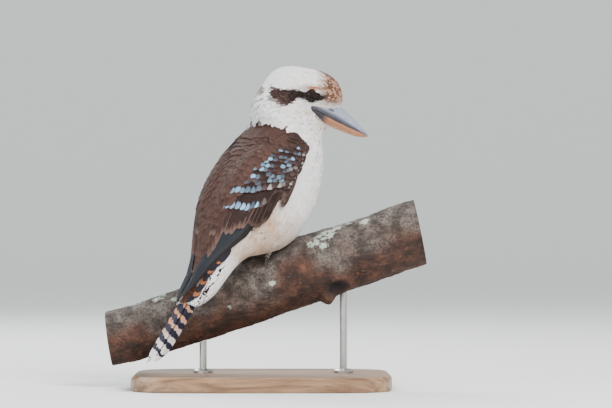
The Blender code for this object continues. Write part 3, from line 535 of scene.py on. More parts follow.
def side_place(points):
    """The side view's x and z in mm of points on the head, both sides folded on to the right one."""
    aside = (points - HEAD_CENTRE) @ HEAD_RIGHT
    folded = points + np.maximum(-aside, 0)[..., None] * 2 * HEAD_RIGHT
    return folded[..., 0] / MM, folded[..., 2] / MM


MASK = [(8.5, 327), (16.6, 323), (33.6, 322), (44.4, 320), (53.4, 320.6), (62.3, 317), (71, 315.5)]
MASK += [(67.6, 311.5), (58.6, 309.5), (53.4, 307.5), (46, 309.5), (39, 313.5), (33.6, 309)]
MASK += [(26.5, 305.5), (20.2, 302), (8.5, 303), (5.8, 314)]
GAPE = [(55, 300), (66, 297), (72, 291), (68, 286), (61, 289), (56, 294)]
WHITE, CREAM, BUFF = np.array([(0.90, 0.88, 0.87), (0.84, 0.75, 0.66), (0.56, 0.37, 0.25)])
MASK_BROWN, RUFOUS, MANTLE = np.array([(0.014, 0.007, 0.006), (0.36, 0.13, 0.05), (0.058, 0.028, 0.022)])
CROWN_BROWN, BAR_BROWN = (0.14, 0.07, 0.045), (0.3, 0.19, 0.13)
BACK_RADIUS = 42


def blend(colour, other, share):
    colour, other = np.asarray(colour), np.asarray(other)
    return colour + (other - colour) * np.clip(share, 0, 1)[..., None]


def markings(points, along, angle, inward=0.0):
    """The colour of the plumage at places on the body. inward draws the brown of the back in."""
    x, z = side_place(points)
    a = along / MM
    grain = speckle(points, 2.1 * MM, 11)
    soft = speckle(points, 11 * MM, 12)
    head = np.clip((a - 22) / 10, 0, 1)
    aside = np.abs((points - HEAD_CENTRE) @ HEAD_RIGHT) / MM
    # Cheeks, breast and belly, with faint bars on the flanks
    colour = blend(WHITE, CREAM, head * np.clip((316 - z) / 20, 0, 0.45) * (z > 270))
    colour = blend(colour, (0.78, 0.67, 0.73), (1 - head) * 0.3 * soft)
    low = np.clip((-64 - a) / 36, 0, 1) * np.clip((a + 152) / 14, 0, 1)
    colour = blend(colour, BUFF, low * (0.5 + 0.6 * soft))
    bars = 0.5 + 0.5 * np.sin(a * 1.15 + 2.5 * soft)
    colour = blend(colour, BAR_BROWN, low * (bars > 0.8) * (grain > 0.45) * 0.35)
    # Brow, forehead, crown and nape
    colour = blend(colour, RUFOUS, head * hump(x, 56, 17) * hump(z, 324, 3.2))
    fore = np.clip((x - 57) / 14, 0, 1) * np.clip((z - 303) / 8, 0, 1) * head
    colour = blend(colour, (0.38, 0.15, 0.06), fore * 0.85)
    colour = blend(colour, (0.10, 0.04, 0.022), fore * (grain > 0.53) * 0.9)
    crown = head * np.clip((7 - aside) / 4, 0, 1) * (z > 335)
    colour = blend(colour, CROWN_BROWN, crown * (0.35 + 0.65 * (grain > 0.42)))
    nape = head * np.clip((25 - aside) / 4, 0, 1) * np.clip((4 - x) / 5, 0, 1) * (z > 304) * (z < 325)
    colour = blend(colour, (0.10, 0.05, 0.035), nape * 0.85)
    # Mask, with its paler rear, and the dark spot under the gape
    mask = inside_polygon(x + (grain - 0.5) * 2, z + (grain - 0.5) * 1.5, MASK, 1.8) * head
    dark = blend((0.042, 0.021, 0.019), MASK_BROWN, (x - 18) / 20)
    dark = blend(dark, (0.12, 0.07, 0.06), (grain > 0.66) * np.clip((30 - x) / 20, 0, 0.45))
    colour = np.where(mask[..., None] > 0.02, blend(colour, dark, mask), colour)
    colour = blend(colour, (0.33, 0.2, 0.13), head * hump(x, 50, 6) * hump(z, 297, 1.8) * 0.5)
    colour = blend(colour, (0.05, 0.035, 0.045), head * inside_polygon(x, z, GAPE, 2) * 0.9)
    colour = blend(colour, (0.75, 0.5, 0.3), head * hump(x, 62, 5) * hump(z, 284, 7) * 0.45)
    # Mantle and rump between the wings
    across = np.abs(np.mod(angle + math.pi, 2 * math.pi) - math.pi) * BACK_RADIUS
    limit = np.interp(a, (-205, -150, -132, -118), (24, 26, 44, 62)) - inward
    back = np.clip((-6.5 - a + 3 * (grain - 0.5)) / 1.5, 0, 1) * np.clip((limit - across) / 4, 0, 1)
    brown = blend(MANTLE, RUFOUS * 0.3, np.clip((-135 - a) / 15, 0, 1)) * (0.75 + 0.5 * soft)[..., None]
    return blend(colour, brown, back) * (0.94 + 0.06 * grain)[..., None]


def with_share(colour, share=1.0):
    """Colours with a share, such as an edge's, stored as their alpha."""
    return np.concatenate([colour, np.broadcast_to(share, colour.shape[:-1])[..., None]], -1)


def feather_group():
    """Colour and relief of a feather's vane from its base, edge and spot colours. Its own place
    comes as a vector: across from -1 to 1, along from 0 at the root to 1, and length in mm."""
    tree = bpy.data.node_groups.new("feather", "ShaderNodeTree")
    sockets = (("Base", "Color"), ("Edge", "Color"), ("Spot", "Color"), ("Edge Share", "Float"))
    sockets += (("Spot Share", "Float"), ("Vane", "Vector"), ("Streaks", "Float"))
    for name, kind in sockets:
        tree.interface.new_socket(name, in_out="INPUT", socket_type="NodeSocket" + kind)
    tree.interface.new_socket("Colour", in_out="OUTPUT", socket_type="NodeSocketColor")
    tree.interface.new_socket("Height", in_out="OUTPUT", socket_type="NodeSocketFloat")
    given = tree.nodes.new("NodeGroupInput").outputs
    out = tree.nodes.new("NodeGroupOutput").inputs
    vane = node(tree, "SeparateXYZ", {0: given["Vane"]}).outputs
    side = math_of(tree, "ABSOLUTE", vane[0])
    reach = times(tree, vane[1], vane[2])
    barb = math_of(tree, "SUBTRACT", reach, times(tree, side, 4.0))
    place = node(tree, "CombineXYZ", {0: barb, 1: vane[0], 2: times(tree, vane[2], 13.7)})
    clumps = noise_at(tree, 1.1, 3.0, 0.7, place=place.outputs[0])
    unevenness = math_of(tree, "SUBTRACT", clumps, 0.5)
    rim = smooth_between(tree, side, 0.72, 0.98)
    tip = smooth_between(tree, vane[1], 0.80, 0.97)
    rim = times(tree, math_of(tree, "MAXIMUM", rim, tip), given["Edge Share"])
    colour = mix(tree, rim, given["Base"], given["Edge"])
    wide = math_of(tree, "DIVIDE", math_of(tree, "SUBTRACT", vane[0], 0.1), 0.78)
    long = math_of(tree, "DIVIDE", math_of(tree, "SUBTRACT", vane[1], 0.88), 0.17)
    wide, long = (math_of(tree, "POWER", value, 2.0) for value in (wide, long))
    off = math_of(tree, "SQRT", plus(tree, wide, long))
    off = plus(tree, off, times(tree, unevenness, 1.4))
    spot = times(tree, smooth_between(tree, off, 1.05, 0.75), given["Spot Share"])
    colour = mix(tree, spot, colour, given["Spot"])
    streak = plus(tree, times(tree, unevenness, given["Streaks"]), 1.0)
    shaft = smooth_between(tree, side, 0.03, 0.09, 0.82, 1.0)
    shade = times(tree, streak, shaft)
    grey = node(tree, "CombineColor", {0: shade, 1: shade, 2: shade}).outputs[0]
    tree.links.new(mix(tree, 1.0, colour, grey, "MULTIPLY"), out["Colour"])
    lines = math_of(tree, "SINE", times(tree, barb, 13.0))
    lines, clumps = times(tree, lines, 0.25), times(tree, clumps, 1.6)
    tree.links.new(plus(tree, lines, clumps), out["Height"])
    return tree


FEATHER = feather_group()


def feather_material(name, streaks, **values):
    """A material with the feather group in it. Gives the material, the shader and the colour."""
    made, tree, shader = new_material(name, **values)
    group = tree.nodes.new("ShaderNodeGroup")
    group.node_tree = FEATHER
    for socket in ("Base", "Edge", "Spot"):
        source = node(tree, "Attribute", attribute_name=socket.lower())
        tree.links.new(source.outputs["Color"], group.inputs[socket])
        if socket != "Base":
            tree.links.new(source.outputs["Alpha"], group.inputs[socket + " Share"])
    tree.links.new(attribute(tree, "vane", "Vector"), group.inputs["Vane"])
    group.inputs["Streaks"].default_value = streaks
    finish(shader, group.outputs["Colour"], group.outputs["Height"], 0.6, 0.0005)
    return made, shader, group.outputs["Colour"]


down = feather_material("soft_plumage", 0.3, Roughness=0.9, Specular_IOR_Level=0.12)[0]

skin_paint, tree, shader = new_material("skin", Roughness=0.9, Specular_IOR_Level=0.15)
fluff = noise_at(tree, 700.0)
shadows = smooth_between(tree, fluff, 0.3, 0.7, 0.0, 0.25)
finish(shader, mix(tree, shadows, attribute(tree, "base", "Color"), (0.25, 0.2, 0.18)), fluff, 0.5, 0.0008)


def closed_tube(rings, sides):
    """The quads of a tube, and a flat face over each end."""
    last = list(range((rings - 1) * sides, rings * sides))
    return tube_faces(rings, sides).tolist() + [list(range(sides))[::-1], last]


rings = np.concatenate([np.arange(-204, 60, 1.5), np.arange(60, 80, 1.0), np.arange(80, 86.01, 0.5)]) * MM
SKIN_ROUND = 180
angles = np.linspace(0, 2 * math.pi, SKIN_ROUND, endpoint=False)
A, B = np.meshgrid(rings, angles, indexing="ij")
DEPTH_PLACES, DEPTHS = np.array([(-204, -190, -60, 20, 40, 86), (0.6, 1.8, 2.2, 2.0, 1.3, 0.9)]) * MM
skin_points = skin(A, B, -np.interp(A, DEPTH_PLACES, DEPTHS)).reshape(-1, 3)
body = build_mesh("body_skin", skin_points, closed_tube(len(rings), SKIN_ROUND), skin_paint)
skin_colour = markings(skin_points, A.ravel(), B.ravel(), inward=9.0)
point_values(body, "base", with_share(skin_colour), "FLOAT_COLOR")
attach(body, "root")
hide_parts("torso", "neck", "head")

# Small feathers cover the whole skin and follow its lie: back from the bill over the head, and down
# the body from the neck.
skin_faces = tube_faces(len(rings), SKIN_ROUND)
finder = BVHTree.FromPolygons(skin_points.tolist(), skin_faces.tolist())
face_along = A.ravel()[skin_faces[:, 0]]
face_angle = B.ravel()[skin_faces[:, 0]]
_, face_up, face_forward, _ = slice_frame(face_along)
backward = np.clip((face_along / MM - 16) / 26, 0, 1)[:, None]
face_flow = -face_up * (1 - 0.72 * backward) - face_forward * 0.95 * backward


def spread_over_skin(spacing, count, keep, seed):
    """Roots scattered evenly over the skin: their along and angle. keep chooses among places."""
    draw = np.random.default_rng(seed)
    along = draw.uniform(-203, 85.8, count) * MM
    angle = draw.uniform(-math.pi, math.pi, count)
    up = skin_flat(along + MM / 2, angle) - skin_flat(along - MM / 2, angle)
    around = skin_flat(along, angle + 0.02) - skin_flat(along, angle - 0.02)
    area = np.linalg.norm(np.cross(up, around), axis=1)
    chosen = draw.random(count) * np.quantile(area, 0.995) < area
    chosen &= keep(along, angle)
    along, angle = along[chosen], angle[chosen]
    points = skin_flat(along, angle)
    cells, kept = {}, []
    for i, (x, y, z) in enumerate((points / spacing).tolist()):
        key = (math.floor(x), math.floor(y), math.floor(z))
        near = (
            (x - other[0]) ** 2 + (y - other[1]) ** 2 + (z - other[2]) ** 2 < 1
            for a in (-1, 0, 1)
            for b in (-1, 0, 1)
            for c in (-1, 0, 1)
            for other in cells.get((key[0] + a, key[1] + b, key[2] + c), ())
        )
        if not any(near):
            cells.setdefault(key, []).append((x, y, z))
            kept.append(i)
    return along[kept], angle[kept]


COAT_STATIONS, COAT_THICK, COAT_ARCH = np.array((0.0, 0.3, 0.62, 0.88, 1.0)), 0.2 * MM, 0.1
NAPE_RUFF = 2.6 * MM


def paths_over_skin(along, angle, lengths, lifts, sway, seed):
    """Middle lines of feathers over the skin, with the directions across and out of it."""
    turns = np.random.default_rng(seed).normal(0, sway, len(along))
    centres = np.empty((len(along), len(COAT_STATIONS), 3))
    across, normals = np.empty_like(centres), np.empty_like(centres)
    depth = np.interp(along, np.array([-190, 20, 40]) * MM, np.array([1.8, 2.0, 1.2]) * MM)
    starts = skin(along, angle, -depth)
    faces = np.empty(centres.shape[:2], int)
    for i, start in enumerate(starts):
        place, normal, face, _ = finder.find_nearest(Vector(start))
        turn = Matrix.Rotation(turns[i], 3, normal)
        last = 0.0
        for k, share in enumerate(COAT_STATIONS):
            flow = Vector(face_flow[face])
            flow = turn @ (flow - normal * flow.dot(normal))
            flow.normalize()
            if k:
                place, normal, face, _ = finder.find_nearest(place + flow * ((share - last) * lengths[i]))
                flow = flow - normal * flow.dot(normal)
                flow.normalize()
            last = share
            centres[i, k], normals[i, k], across[i, k] = place, normal, normal.cross(flow)
            faces[i, k] = face
    low, high = lifts
    centres += normals * (low + (high - low) * COAT_STATIONS[:, None] ** 1.3) * MM
    return centres, across, normals, faces


UNWRAP_START, UNWRAP_LONG, UNWRAP_WIDE = -291, 380, 300


def unwrapped(along):
    """How high a place lies on the unwrapped skin, from 0 at the tail's tip to 1 at the crown."""
    return (along - UNWRAP_START) / UNWRAP_LONG


def look_of(base, length, unwrap, edge=None, edge_share=0.0, spot=None, spot_share=0.0):
    """What blades needs to know of each feather of a row: its base, edge and spot colours, its length
    in mm, and its root's place on the unwrapped skin."""
    edge = base if edge is None else np.broadcast_to(edge, base.shape)
    spot = base if spot is None else spot
    return {
        "base": with_share(base),
        "edge": with_share(edge, edge_share),
        "spot": with_share(spot, spot_share),
        "length": np.broadcast_to(length, len(base)),
        "unwrap": unwrap,
    }


def shade_softly(feathers, points):
    """A feather's barbs scatter light, so its blade is shaded as one soft face, not a hard-edged one."""
    sides = points.shape[2]
    edge = sides // 2
    wide = points[:, :, edge] - points[:, :, 0]
    run = np.gradient((points[:, :, edge] + points[:, :, 0]) / 2, axis=1)
    face = unit(np.cross(run, wide))
    tops = np.where(np.arange(sides) <= edge, 1.0, -1.0)
    lean = np.zeros(sides)
    lean[: edge + 1] = np.linspace(-0.3, 0.3, edge + 1)
    shading = face[:, :, None] * tops[:, None] + unit(wide)[:, :, None] * lean[:, None]
    outward = np.empty(points.size, np.float32)
    feathers.data.vertex_normals.foreach_get("vector", outward)
    agree = np.sum(outward.reshape(points.shape)[:, :, edge // 2] * face, axis=2)
    shading *= np.where(agree < 0, -1.0, 1.0)[:, :, None, None]
    feathers.data.normals_split_custom_set_from_vertices(unit(shading).reshape(-1, 3).tolist())


def blades(name, material, points, u, stations, look):
    """Feathers as closed blades from rings of points: feather, station, place round the blade. u runs
    across a blade from -1 to 1, and stations are shares of its length."""
    count, rings, sides = points.shape[:3]
    offset = (np.arange(count) * rings * sides)[:, None, None]
    faces = (tube_faces(rings, sides)[None] + offset).reshape(-1, 4).tolist()
    root = (np.arange(sides)[::-1][None] + offset[:, 0]).tolist()
    tip = (np.arange(sides)[None] + (rings - 1) * sides + offset[:, 0]).tolist()
    made = build_mesh(name, points.reshape(-1, 3), faces + root + tip, material)
    shares = np.asarray(stations, float)[:, None]
    place = np.empty((count, rings, sides, 3))
    place[..., 0] = u
    place[..., 1] = shares
    place[..., 2] = look["length"][:, None, None]
    point_values(made, "vane", place, "FLOAT_VECTOR")
    for layer in ("base", "edge", "spot"):
        values = np.broadcast_to(look[layer][:, None, None], (count, rings, sides, 4))
        point_values(made, layer, values, "FLOAT_COLOR")
    patch = np.empty((count, rings, sides, 2))
    patch[..., 0] = look["unwrap"][:, 0, None, None] + u * 0.0015
    patch[..., 1] = look["unwrap"][:, 1, None, None] + (shares - 0.5) * 0.003
    uv = np.clip(patch.reshape(-1, 2), 0, 1)
    loops = np.empty(len(made.data.loops), np.int32)
    made.data.loops.foreach_get("vertex_index", loops)
    made.data.uv_layers.new(name="OFBake").data.foreach_set("uv", uv[loops].astype(np.float32).ravel())
    return made


EYE_ALONG, EYE_ANGLE = 58 * MM, math.radians(118)
eye_places = [skin(EYE_ALONG, EYE_ANGLE * side, 0.0) for side in (1, -1)]
# The bill's half width, mouth line, top and bottom, by how far ahead of the spine they are, in mm
BILL_ROWS = np.array(
    [
        (10, 17.5, 46.6, 58.0, 38.5),
        (16, 20.0, 46.8, 60.0, 37.8),
        (24, 17.2, 47.0, 61.5, 37.4),
        (32.5, 14.4, 47.2, 62.2, 37.2),
        (41, 12.0, 47.4, 61.7, 37.4),
        (52, 9.2, 47.8, 59.9, 39.4),
        (62.5, 6.6, 48.6, 57.0, 41.1),
        (72, 4.0, 49.3, 54.0, 43.6),
        (78, 2.0, 49.6, 51.9, 46.8),
    ]
)


def bare(points):
    """Where no small feather grows: round the eyes, under the bill and in the branch."""
    found = np.zeros(points.shape[:-1], bool)
    for place in eye_places:
        found |= np.linalg.norm(points - place, axis=-1) < 6.6 * MM
    ahead, up, aside = np.moveaxis((points - HEAD_CENTRE) @ HEAD_FLAT.T / MM, -1, 0)
    half, mouth, high, low = (np.interp(ahead, BILL_ROWS[:, 0], BILL_ROWS[:, i]) for i in (1, 2, 3, 4))
    level = up + HEAD_ALONG - mouth
    reach = np.where(level > 0, high - mouth, mouth - low)
    found |= (ahead > 10) & ((aside / half) ** 2 + (level / reach) ** 2 < 1)
    xs, zs, radii = BRANCH_LINE.T * MM
    x, y, z = np.moveaxis(points, -1, 0)
    away = np.hypot(y - BRANCH_DEPTH, (z - np.interp(x, xs, zs)) * 0.93)
    return found | (away < np.interp(x, xs, radii) - 1 * MM)


def under_wing(along, angle):
    """Where the folded wings hide the body."""
    way = np.abs(np.mod(angle + math.pi, 2 * math.pi) - math.pi)
    arcs = arcs_at(along)
    across = arcs[np.arange(len(along)), np.clip((way / ARC_ANGLES[1]).astype(int), 0, 48)] / MM
    a = along / MM
    inner = np.interp(a, (-170, -114, -68, -40, -15, -9), (9, 14, 13, 24, 42, 52))
    outer = np.interp(a, (-170, -158, -132, -108, -80, -40, -14, -9), (6, 10, 28, 46, 56, 62, 58, 50))
    return (a < -12) & (a > -165) & (across > inner) & (across < outer)


def coat(name, spacing, candidates, where, length, half, lifts, sway, seed):
    """A coat of lens-shaped blades over part of the skin, with sizes in mm."""

    def keep(along, angle):
        chosen = where(along / MM) & ~under_wing(along, angle)
        return chosen & ~bare(skin_flat(along, angle))

    along, angle = spread_over_skin(spacing * MM, candidates, keep, seed)
    draw = np.random.default_rng(seed + 100)
    size = draw.uniform(0.85, 1.18, len(along))
    lengths = length(along / MM, angle) * size
    centres, across, normals, faces = paths_over_skin(along, angle, lengths * MM, lifts, sway, seed + 1)
    ruff = NAPE_RUFF * hump(along / MM, 24, 16) * np.clip(np.cos(angle), 0, 1)
    centres = centres + normals * (ruff[:, None] * COAT_STATIONS)[..., None]
    seen = faces[:, 3]
    base = markings(centres[:, 3], face_along[seen], face_angle[seen])
    base *= draw.uniform(0.9, 1.06, (len(base), 1))
    pale = base + (np.array([0.9, 0.86, 0.82]) - base) * 0.12
    widths = np.interp(COAT_STATIONS, (0, 0.3, 0.6, 0.85, 0.95, 1.0), (0.45, 0.9, 1.0, 0.78, 0.5, 0.12))
    halves = (half(along / MM, angle) * size * MM)[:, None] * widths
    rings = []
    for offset, rise in ((-1, 0), (0, COAT_THICK), (1, 0), (0, -0.2 * COAT_THICK)):
        arch = (1 - offset**2) * (COAT_ARCH * halves + rise)
        rings.append(centres + across * (offset * halves)[..., None] + normals * arch[..., None])
    points = np.stack(rings, 2)
    unwrap = np.column_stack([np.mod(angle / (2 * math.pi) + 0.5, 1), unwrapped(along / MM)])
    look = look_of(base, lengths, unwrap, pale, 0.35)
    made = blades(name, down, points, np.array([-1.0, 0.0, 1.0, 0.0]), COAT_STATIONS, look)
    shade_softly(made, points)
    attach(made, "root")


# Each coat's spacing, tries and place, then its feathers' length, half width, lifts and sway
TORSO_PLACES = (-200, -175, -150, -100, -40, 10, 30)
coat(
    "coat_torso", 3.3, 150000, lambda a: a < 12,
    lambda a, t: np.interp(a, TORSO_PLACES, (13, 20, 20, 18, 16, 12, 9)),
    lambda a, t: np.interp(a, TORSO_PLACES, (3.6, 4.6, 4.6, 4.6, 4.2, 3.2, 2.6)),
    (0.2, 1.5), 0.10, 21,
)
coat(
    "coat_neck", 2.5, 60000, lambda a: (a >= 12) & (a < 38),
    lambda a, t: np.interp(a, (12, 25, 38), (12, 9, 6.5)),
    lambda a, t: np.interp(a, (12, 25, 38), (3.0, 2.4, 1.8)),
    (0.2, 1.3), 0.09, 22,
)
coat(
    "coat_head", 1.75, 110000, lambda a: a >= 38,
    lambda a, t: np.interp(np.cos(t), (-1, -0.6, 0.2, 1), (3.0, 4.4, 6.5, 8.0)),
    lambda a, t: np.interp(np.cos(t), (-1, -0.6, 0.2, 1), (0.9, 1.1, 1.5, 1.7)),
    (0.15, 0.8), 0.07, 23,
)

# The bill is two hollow horn sheaths: a slate upper one with slit nostrils and a pale ridge that is a
# painted highlight, and a horn-coloured lower one. They meet along the mouth line.
TIP_ROW = np.array([(81.6, 0.25, 49.6, 49.95, 49.2)])
bill_sizes = curve_through(np.concatenate([BILL_ROWS, TIP_ROW]))
horn, tree, shader = new_material(
    "horn", Roughness=0.42, Specular_IOR_Level=0.3, Coat_Weight=0.08, Coat_Roughness=0.3
)
wear = noise_at(tree, 160.0, 4.0, 0.65)
scuffs = smooth_between(tree, wear, 0.35, 0.7, 0.0, 0.35)
tint = mix(tree, scuffs, attribute(tree, "base", "Color"), (0.1, 0.08, 0.09))
finish(shader, tint, noise_at(tree, 900.0), 0.25, 0.0002)
tree.links.new(smooth_between(tree, wear, 0.3, 0.7, 0.34, 0.5), shader.inputs["Roughness"])
NOSTRIL_AHEAD, NOSTRIL_UP, NOSTRIL_HALF, NOSTRIL_TALL = 34.4, 54.9, 2.8, 0.85


def mandible(name, upper):
    """One sheath: an arch over the mouth line, closed by a shallow floor. Sizes are in mm."""
    aheads = 10 + 71.6 * np.linspace(0, 1, 170)[:, None] ** 0.96
    half, mouth, high, low = np.moveaxis(bill_sizes(aheads), -1, 0)
    depth = (high if upper else low) - mouth
    half, gap = (half, 0.16) if upper else (half * 0.95, -0.16)
    depth, mouth = depth - gap, mouth + gap
    turns = np.linspace(0, math.pi, 41)
    chord = np.cos(np.linspace(math.pi, 0, 9)[1:-1])
    keel = 1 + 0.05 * np.exp(-((turns - math.pi / 2) ** 2) * 30)
    rise = depth * np.sin(turns) ** 1.1 * keel / 1.05
    up = mouth + np.concatenate([rise, depth * 0.12 * (1 - chord**2)], 1)
    aside = half * np.concatenate([np.cos(turns), chord])
    share = np.broadcast_to(np.concatenate([np.sin(turns), np.zeros(len(chord))]), up.shape)
    ahead = np.broadcast_to(aheads, up.shape)
    slit = np.zeros_like(up)
    if upper:
        off = (up - NOSTRIL_UP - 0.12 * (ahead - NOSTRIL_AHEAD)) / NOSTRIL_TALL
        slit = np.exp(-(((ahead - NOSTRIL_AHEAD) / NOSTRIL_HALF) ** 4) - off**2) * (share > 0)
        aside = aside * (1 - 0.13 * slit * (np.abs(aside) > 0.2 * half))
    points = in_head(ahead, up, aside)
    if upper:
        # The upper sheath is painted paler towards its ridge, as a painted highlight.
        colour = blend((0.11, 0.125, 0.175), (0.25, 0.275, 0.36), (share - 0.35) / 0.5)
        colour = blend(colour, (0.035, 0.036, 0.05), (0.42 - share) / 0.22)
        colour = blend(colour, (0.10, 0.11, 0.15), (ahead - 70) / 12)
        colour = blend(colour, (0.012, 0.012, 0.016), slit * 1.2)
    else:
        colour = blend((0.40, 0.165, 0.07), (0.46, 0.25, 0.14), (share - 0.5) / 0.5)
        colour = blend(colour, (0.16, 0.09, 0.08), (0.22 - share) / 0.18)
        colour = blend(colour, (0.42, 0.13, 0.06), (speckle(points, 4 * MM, 31) - 0.62) / 0.2 * 0.6)
        colour = blend(colour, (0.022, 0.018, 0.026), (37 - ahead) / 7)
    faces = closed_tube(*up.shape)
    faces = faces if upper else [face[::-1] for face in faces]
    made = build_mesh(name, points.reshape(-1, 3), faces, horn)
    point_values(made, "base", with_share(colour), "FLOAT_COLOR")
    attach(made, "root")
    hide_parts("bill_upper" if upper else "bill_lower")


mandible("bill_upper_horn", True)
mandible("bill_lower_horn", False)

# The eyes are dark brown and wet, and sit in dark lids.
wet_eye, tree, shader = new_material("wet_eye", Roughness=0.1, Specular_IOR_Level=0.14)
iris = smooth_between(tree, attribute(tree, "polar"), 0.30, 0.34)
brown = mix(tree, noise_at(tree, 900.0), (0.006, 0.003, 0.002), (0.022, 0.01, 0.006))
finish(shader, mix(tree, iris, (0.002, 0.002, 0.002), brown))
lid_skin, tree, shader = new_material("lid_skin", Roughness=0.6, Specular_IOR_Level=0.2)
shader.inputs["Base Color"].default_value = (0.007, 0.005, 0.005, 1)
relieve(shader, noise_at(tree, 1500.0, 2.0), 0.4, 0.0003)
EYE_RADIUS, EYE_SUNK, EYE_RINGS, EYE_ROUND = 7.4, 4.9, 40, 48
LID_LONG, LID_TALL, LID_THICK, LID_ROUND = 5.9, 4.9, 0.85, 12
for name, side in (("right", 1), ("left", -1)):
    middle = skin(EYE_ALONG, EYE_ANGLE * side, 0.0)
    outward = skin_normal(EYE_ALONG, EYE_ANGLE * side)
    ahead = slice_frame(np.array(EYE_ALONG))[2]
    ahead = unit(ahead - outward * (ahead @ outward))
    above = np.cross(ahead, outward) * -side
    polar = np.linspace(0.02, math.pi - 0.02, EYE_RINGS)
    turns = np.linspace(0, 2 * math.pi, EYE_ROUND, endpoint=False)
    P, T = np.meshgrid(polar, turns, indexing="ij")
    rim = ahead * np.cos(T)[..., None] + np.cross(outward, ahead) * np.sin(T)[..., None]
    ball = outward * np.cos(P)[..., None] + rim * np.sin(P)[..., None]
    points = middle + (ball * EYE_RADIUS - outward * EYE_SUNK) * MM
    eye = build_mesh(f"eye_{name}_ball", points.reshape(-1, 3), closed_tube(EYE_RINGS, EYE_ROUND), wet_eye)
    point_values(eye, "polar", P)
    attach(eye, "root")
    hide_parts(f"eye_{name}")
    swing = np.linspace(0, 2 * math.pi, LID_ROUND, endpoint=False)
    T, S = np.meshgrid(turns, swing, indexing="ij")
    away = ahead * (np.cos(T) * LID_LONG)[..., None] + above * (np.sin(T) * LID_TALL)[..., None]
    radius = LID_THICK * (1 + 0.12 * np.sin(T * 9))
    around = unit(away) * (np.cos(S) * radius)[..., None] + outward * (np.sin(S) * radius)[..., None]
    points = middle + (away + around + outward * 0.1) * MM
    faces = tube_faces(EYE_ROUND + 1, LID_ROUND) % (EYE_ROUND * LID_ROUND)
    faces = faces[:, ::-1] if side > 0 else faces
    lid = build_mesh(f"lids_{name}", points.reshape(-1, 3), faces.tolist(), lid_skin)
    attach(lid, "root")

# Short scaled legs end in four toes that curl over the bark, each with a dark claw.
leg_skin, tree, shader = new_material("leg_skin", Roughness=0.55)
cells = {"Vector": node(tree, "TexCoord").outputs["Object"], "Scale": 900.0}
scales = node(tree, "TexVoronoi", cells).outputs["Distance"]
tint = mix(tree, smooth_between(tree, scales, 0.1, 0.6), (0.44, 0.40, 0.35), (0.2, 0.17, 0.15))
finish(shader, tint, scales, -0.7, 0.0004)
claw_horn, tree, shader = new_material("claw_horn", Roughness=0.25, Coat_Weight=0.3)
finish(shader, mix(tree, noise_at(tree, 800.0, 2.0), (0.012, 0.01, 0.012), (0.07, 0.06, 0.06)))


def limb(name, centres, radii, material, sides=20):
    """A round tube through points, closed at both ends."""
    centres = np.asarray(centres)
    along = unit(np.gradient(centres, axis=0))
    guide = unit(np.cross(along, np.array([0.13, 0.31, 0.94])))
    other = np.cross(along, guide)
    turns = np.linspace(0, 2 * math.pi, sides, endpoint=False)
    ring = guide[:, None] * np.cos(turns)[None, :, None] + other[:, None] * np.sin(turns)[None, :, None]
    points = (centres[:, None] + ring * np.asarray(radii)[:, None, None]).reshape(-1, 3)
    return build_mesh(name, points, closed_tube(len(centres), sides), material)


# Each toe's heading over the bark in degrees, its length and its radius in mm
TOES = (("outer", 82, 25, 2.7), ("middle", 66, 29, 2.9), ("inner", 40, 19, 2.5), ("back", 236, 20, 2.9))
SHANK_LONG, SHANK_RADIUS, TOE_LIFT, CLAW_LONG = 17, 4.2, 2.1, 9
for leg, foot_x, foot_turn in (("leg_right", 27, -17), ("leg_left", 5, 15)):
    foot_x, foot_turn = foot_x * MM, math.radians(foot_turn)
    bark_radius = float(np.interp(foot_x, *(BRANCH_LINE.T[[0, 2]] * MM)))
    share = np.linspace(0, 1, 24)
    foot, over = branch_place(np.full(2, foot_x), np.full(2, foot_turn), np.array([3, 10]) * MM)
    lean = unit(unit(over - foot) + np.array([0, 0, 0.8]))
    radii = SHANK_RADIUS * MM * (0.95 + 0.12 * (2 * share - 1) ** 2)
    shank = limb(leg + "_shank", foot + lean * (share * SHANK_LONG * MM)[:, None], radii, leg_skin)
    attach(shank, "root")
    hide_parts(leg)
    for toe, heading, length, thick in TOES:
        heading = math.radians(heading)

        def over_bark(reach, lift):
            x = foot_x + reach * math.cos(heading) * 0.92
            return branch_place(x, foot_turn + reach * math.sin(heading) / bark_radius, lift)

        reach = np.linspace(0, length, 40) * MM
        pads = 1 + 0.13 * np.cos(reach / MM * 0.95) + 0.03 * np.cos(reach / MM * 6)
        radii = thick * MM * np.interp(reach / reach[-1], (0, 0.35, 0.7, 1), (1.05, 0.9, 0.92, 0.66)) * pads
        made = limb(f"{leg}_{toe}_toe", over_bark(reach, np.full(40, TOE_LIFT * MM)), radii, leg_skin)
        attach(made, "root")
        reach = (length + np.linspace(-2, CLAW_LONG, len(share))) * MM
        lift = TOE_LIFT * MM * np.interp(share, (0, 0.35, 0.7, 1), (0.95, 1.35, 0.95, 0.3))
        radii = thick * MM * np.interp(share, (0, 0.5, 0.85, 1), (0.5, 0.42, 0.22, 0.03))
        made = limb(f"{leg}_{toe}_claw", over_bark(reach, lift), radii, claw_horn, 14)
        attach(made, "root")

# Each folded wing is a feathered arm with rows of coverts over secondaries and primaries, and the
# scapulars over them all. Blue-tipped coverts cross it, and the flight feathers are nearly black.
# The arm's shape: along the spine, across to its inner and outer edge, and its thickness, in mm
WING_BED = np.array(
    [
        (-124, 9, 38, 0.3),
        (-114, 8, 45, 1.6),
        (-104, 6, 55, 2.6),
        (-92, 6, 59, 3.2),
        (-80, 6, 67, 3.6),
        (-68, 7, 73, 3.8),
        (-54, 10, 72, 3.8),
        (-40, 18, 70, 3.6),
        (-26, 27, 67.5, 3.0),
        (-15, 36, 64, 2.0),
        (-9, 45, 53, 0.6),
    ]
)
